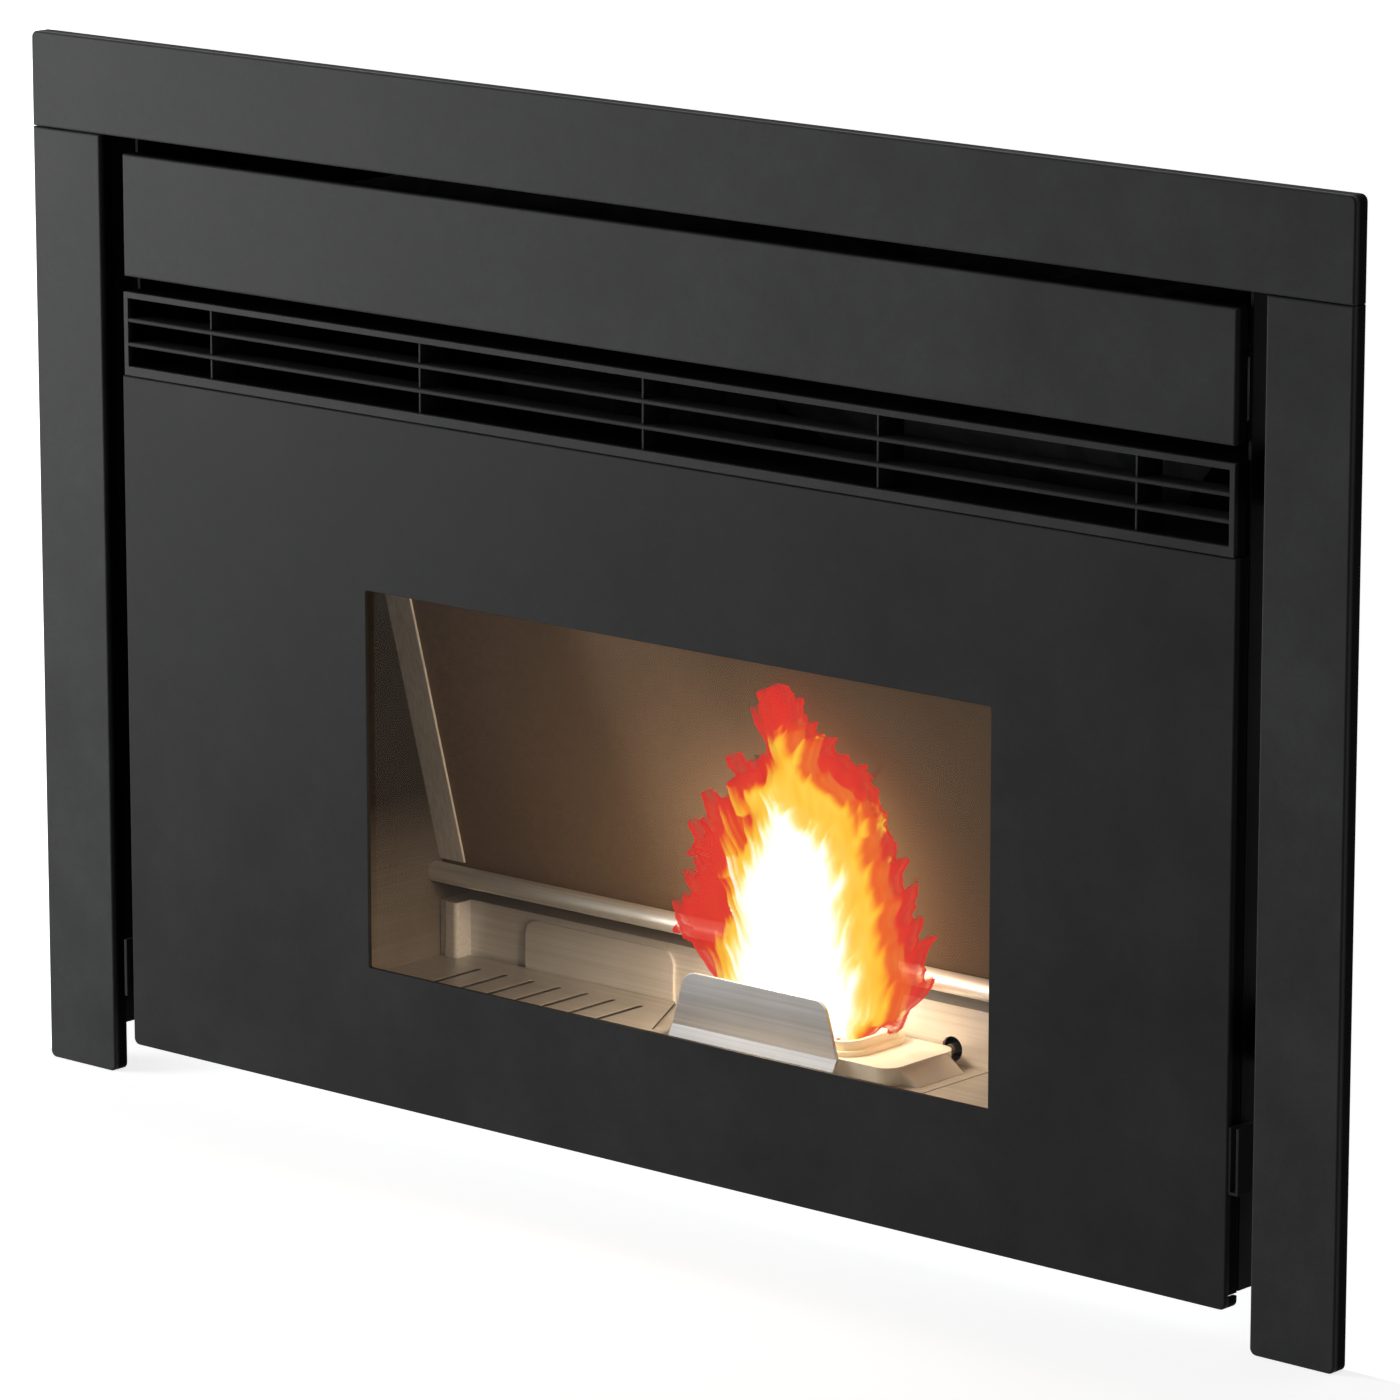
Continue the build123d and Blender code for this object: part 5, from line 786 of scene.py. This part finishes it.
def flicks(x, z, lean, pitch, phase):
    """Pointed teeth in millimetres that lean up and away from the flame's axis: two sets of
    (1 - |sin u|)^2, with u = (z - lean * |x - axis|) / pitch + x / drift + phase, the second set
    half as long."""
    away = np.abs(x - FLAME_AXIS)
    large = 1 - np.abs(np.sin((z - lean * away) / pitch + x / 40 + phase))
    small = 1 - np.abs(np.sin((z - 0.8 * lean * away) / (0.5 * pitch) + x / 17 + 1.1 + phase))
    return 5.0 * large ** 2 + 2.4 * small ** 2 - 1.5


def flame_heat(x, z):
    """Heat from 0 at the edge of the fire to 1 in its core: red, yellow and white shares added."""
    x, z = wavering(x, z)

    def share(edges, licks, teeth, strength, shift, reach):
        depth = within(x, z, edges, licks) + strength * flicks(x, z, *teeth) + shift
        rise = np.clip(depth / reach, 0, 1)
        return rise * rise * (3 - 2 * rise)

    red = share(RED_EDGE, RED_LICKS, (1.3, 6.2, 0.0), 1.3, -0.8, 3.5)
    yellow = share(YELLOW_EDGE, YELLOW_LICKS, (1.9, 8.5, 0.9), 1.2, 2, 10.0)
    white = share(WHITE_EDGE, WHITE_LICKS, (2.4, 10.5, 1.9), 2.0, 5, 21.0)
    return 0.36 * red + 0.32 * yellow * red + 0.32 * white * yellow * red


def flame_finish(name, fade_start, fade_end, opacity, glow):
    """Light of one skin of the fire: colour and opacity both follow the piece's own heat, and it
    throws no shadow."""
    finish = Finish(name, (0, 0, 0), 1.0, specular=0.0)
    heat = finish.node("Attribute", attribute_name="fire_heat").outputs["Fac"]
    flicker = finish.noise(60.0, 3.0, 0.6, stretch=(1.6, 1.0, 0.7))
    stirred = finish.math("ADD", heat, finish.range(flicker, -0.05, 0.05))
    colour = finish.ramp(stirred, [(0.04, (0.5, 0.03, 0.024)), (0.3, (0.6, 0.024, 0.02)),
                                   (0.4, (0.64, 0.036, 0.02)), (0.5, (0.76, 0.18, 0.02)),
                                   (0.64, (0.8, 0.42, 0.03)), (0.72, (0.86, 0.54, 0.07)),
                                   (0.82, (0.95, 0.8, 0.34)), (0.94, (1.0, 1.0, 0.93))])
    finish.set("Emission Color", colour)
    finish.set("Emission Strength", glow)
    shadow = finish.node("LightPath").outputs["Is Shadow Ray"]
    alpha = finish.range(heat, 0.0, opacity, fade_start, fade_end)
    finish.set("Alpha", finish.math("MULTIPLY", alpha, finish.math("SUBTRACT", 1.0, shadow)))
    return finish.material


def flame_skin(name, floor, puff, lean, material):
    """A closed puffed skin: two sheets at depth +-puff * sqrt((heat - floor) / (1 - floor)) from a
    leaning middle, kept only where heat passes floor, and joined where that depth is nothing."""
    x, z = np.meshgrid(np.arange(*FLAME_FROM_TO_X, FLAME_PITCH),
                       np.arange(*FLAME_FROM_TO_Z, FLAME_PITCH), indexing="ij")
    heat = flame_heat(x, z).ravel()
    quads = grid_faces(*x.shape)
    quads = quads[(heat > floor)[quads].any(axis=1)]
    x, z = x.ravel(), z.ravel()
    swell = np.sqrt(np.clip((heat - floor) / (1 - floor), 0, 1))
    swell[np.bincount(quads.ravel(), minlength=len(x)) < 4] = 0
    depth = swell * puff * np.clip((z - FLAME_FROM_TO_Z[0]) / FULL_DEPTH_RISE, 0.25, 1)
    middle = FLAME_MIDDLE - lean * (z - LEAN_FROM) * MM
    points = np.concatenate([np.stack([x * MM, middle + side * depth, z * MM], axis=-1)
                             for side in (-1, 1)])
    own = np.arange(len(x))
    back = np.where(depth == 0, own, own + len(x))
    faces = np.concatenate([quads, back[quads][:, ::-1]])
    kept, faces = np.unique(faces, return_inverse=True)
    make_piece(name, points[kept], faces.reshape(-1, 4), material, "burn_pot",
               heat=np.tile(heat, 2)[kept].astype(np.float32))


def pellet_heap(count):
    """Short rods with rounded ends, thrown into the pot: centres on a jittered heap, axes mostly
    level, from one seeded draw."""
    draw = np.random.default_rng(41)
    low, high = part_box("burn_pot")
    inset, bed, heap = 17 * MM, 6 * MM, 17 * MM
    centre = np.stack([draw.uniform(low.x + inset, high.x - inset, count),
                       draw.uniform(low.y + inset, high.y - inset, count),
                       low.z + bed + draw.uniform(0, 1, count) ** 0.8 * heap], axis=-1)
    heading = draw.uniform(0, 2 * pi, count)
    tilt = draw.normal(0, 0.25, count)
    axis = np.stack([np.cos(heading) * np.cos(tilt), np.sin(heading) * np.cos(tilt),
                     np.sin(tilt)], axis=-1)
    side = np.cross(axis, [0, 0, 1.0])
    side /= np.linalg.norm(side, axis=1, keepdims=True)
    turn = np.stack([side, np.cross(axis, side), axis], axis=-1)
    turn[:, :, 2] *= draw.uniform(0.7, 1.15, count)[:, None]
    places = np.concatenate([turn, centre[:, :, None]], axis=2)
    rod = [(0.0, -7.2), (2.2, -7.0), (3.0, -6.2), (3.0, 6.2), (2.2, 7.0), (0.0, 7.2)]
    points, faces = turned_profile([(r * MM, h * MM) for r, h in rod], 10)
    return copies(points, faces, places)


def ember_finish():
    """Charred pellets: black skin with cracks that glow."""
    finish = Finish("burning_pellets_finish", (0.03, 0.022, 0.018), 0.9, specular=0.1)
    crack = finish.cells(330.0, feature="DISTANCE_TO_EDGE")
    patch = finish.noise(45.0, 3.0)
    hot = finish.math("MULTIPLY", finish.range(crack, 1.0, 0.0, 0.0, 0.12),
                      finish.range(patch, 0.1, 1.0))
    finish.set("Emission Color", finish.ramp(hot, [(0.05, (0.02, 0.001, 0.0)),
                                                   (0.4, (0.9, 0.08, 0.01)),
                                                   (0.9, (1.0, 0.5, 0.12))]))
    finish.set("Emission Strength", 1.6)
    return finish.relief((crack, 0.0004))


class INSERT_OT_light_fire(bpy.types.Operator):
    """Burning pellets in the pot and the flame over them"""
    bl_idname = "insert.light_fire"
    bl_label = "Light fire"

    def execute(self, context):
        fire = context.scene.insert_fire
        points, faces = pellet_heap(fire.pellets)
        make_piece("burning_pellets", points, faces, ember_finish(), "burn_pot",
                   weld=True)
        skins = [("flame_outer", 0.015, 1.0, (0.015, 0.13), 0.74),
                 ("flame_core", 0.42, 0.6, (0.42, 0.58), 0.9)]
        for name, floor, share, fade, opacity in skins:
            flame_skin(name, floor, fire.puff * share, fire.lean,
                       flame_finish(name + "_finish", *fade, opacity, fire.glow))
        return {"FINISHED"}


# ---- stage ------------------------------------------------------------------
def stand(name, data, place=(0, 0, 0), facing=None):
    """An object at place whose -Z looks along facing."""
    made = bpy.data.objects.new(name, data)
    made.location = place
    if facing is not None:
        made.rotation_euler = facing.to_track_quat("-Z", "Y").to_euler()
    bpy.context.scene.collection.objects.link(made)
    return made


def stage_sheet(name, corners, material):
    """A flat sheet with four corners."""
    mesh = bpy.data.meshes.new(name)
    mesh.from_pydata(corners, [], [(0, 1, 2, 3)])
    mesh.materials.append(material)
    sheet = stand(name, mesh)


def pale_surface(name, colour, lift, see_through_back=False):
    """Pale matt surface that stays white to the eye: part diffuse, part light for seen rays."""
    finish = Finish(name, colour, 1.0, specular=0.0)
    seen = finish.seen()
    light = finish.node("Emission", {"Color": (1, 1, 1, 1), "Strength": lift})
    both = finish.node("AddShader", {0: finish.shader.outputs[0], 1: light.outputs[0]})
    shown = finish.node("MixShader", {0: seen, 1: finish.shader.outputs[0],
                                      2: both.outputs[0]}).outputs[0]
    if see_through_back:
        clear = finish.node("BsdfTransparent").outputs[0]
        behind = finish.node("NewGeometry").outputs["Backfacing"]
        away = finish.math("MAXIMUM", behind, finish.math("SUBTRACT", 1.0, seen))
        shown = finish.node("MixShader", {0: away, 1: shown, 2: clear}).outputs[0]
    return finish.show(shown)


def soft_lamp(name, place, aim, size, power):
    lamp = bpy.data.lights.new(name, "AREA")
    lamp.shape, lamp.size, lamp.energy = "SQUARE", size, power
    stand(name, lamp, place, Vector(aim) - Vector(place))


class INSERT_OT_set_stage(bpy.types.Operator):
    """Floor, wall, studio light, the fire's own light and the camera"""
    bl_idname = "insert.set_stage"
    bl_label = "Set stage"

    def execute(self, context):
        stage = context.scene.insert_stage
        floor = pale_surface("stage_floor_finish", (0.8, 0.8, 0.8), 0.8)
        stage_sheet("stage_floor", [(-6, -6, 0), (6, -6, 0), (6, 6, 0), (-6, 6, 0)], floor)
        wall = pale_surface("stage_wall_finish", (0.85, 0.85, 0.85), 1.0, see_through_back=True)
        low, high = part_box("surround_header")
        inset, y = 12 * MM, FRONT + 12.5 * MM
        left, right, top = low.x + inset, high.x - inset, high.z - inset
        wall_left, wall_right, wall_top = -0.56, 0.9, 0.8
        for name, x0, x1, z0 in (("right_wall", right, wall_right, 0.0),
                                 ("upper_wall", left, right, top),
                                 ("left_wall", wall_left, left, 0.0)):
            stage_sheet(name, [(x0, y, z0), (x1, y, z0), (x1, y, wall_top), (x0, y, wall_top)],
                        wall)
        world = bpy.data.worlds.new("studio")
        context.scene.world = world
        world.use_nodes = True
        sky = Tree(world.node_tree)
        background = sky.nodes["Background"].inputs
        sky.links.new(sky.range(sky.seen(), 0.04, 1.0, 0.0, 1.0), background["Strength"])
        background["Color"].default_value = (1, 1, 1, 1)
        soft_lamp("key_lamp", (-2.2, -1.6, 0.32), (0.0, FRONT, 0.3), 1.0, 68)
        soft_lamp("top_lamp", (0.2, 0.4, 2.6), (0.0, 0.0, 0.3), 1.6, 8)
        lamp = bpy.data.lights.new("fire_lamp", "POINT")
        lamp.energy, lamp.color, lamp.shadow_soft_size = 1.2, (1.0, 0.78, 0.55), 25 * MM
        stand("fire_lamp", lamp, (0.022, FRONT + 0.076, 0.165))
        eye = bpy.data.cameras.new("camera")
        eye.sensor_width, eye.lens, eye.clip_end = 36.0, stage.lens, 100.0
        back = Vector((sin(stage.azimuth) * cos(stage.elevation),
                       -cos(stage.azimuth) * cos(stage.elevation), sin(stage.elevation)))
        context.scene.camera = stand("camera", eye, Vector(stage.target) + back * stage.distance,
                                     -back)
        context.scene.view_settings.view_transform = "Standard"
        return {"FINISHED"}


OPERATORS = (INSERT_OT_paint_front, INSERT_OT_hang_blades, INSERT_OT_finish_casing,
             INSERT_OT_finish_chamber, INSERT_OT_finish_gear, INSERT_OT_glaze_door,
             INSERT_OT_set_screws, INSERT_OT_light_fire, INSERT_OT_set_stage)
SETTINGS = {"insert_paint": PaintSettings, "insert_fire": FireSettings,
            "insert_stage": StageSettings}


class INSERT_PT_looks(bpy.types.Panel):
    """Sidebar list of the insert's pieces and settings"""
    bl_idname = "INSERT_PT_looks"
    bl_label = "Fireplace insert"
    bl_space_type = "VIEW_3D"
    bl_region_type = "UI"
    bl_category = "Insert"

    def draw(self, context):
        for operator in OPERATORS:
            self.layout.operator(operator.bl_idname)
        for group in SETTINGS:
            for name in getattr(context.scene, group).bl_rna.properties.keys():
                if name not in ("rna_type", "name"):
                    self.layout.prop(getattr(context.scene, group), name)


def register():
    for kind in (*SETTINGS.values(), *OPERATORS, INSERT_PT_looks):
        bpy.utils.register_class(kind)
    for name, kind in SETTINGS.items():
        setattr(bpy.types.Scene, name, PointerProperty(type=kind))


def unregister():
    for name in SETTINGS:
        delattr(bpy.types.Scene, name)
    for kind in (INSERT_PT_looks, *reversed(OPERATORS), *reversed(SETTINGS.values())):
        bpy.utils.unregister_class(kind)


def main():
    register()
    for operator in OPERATORS:
        family, action = operator.bl_idname.split(".")
        getattr(getattr(bpy.ops, family), action)()


if __name__ == "__main__":
    main()
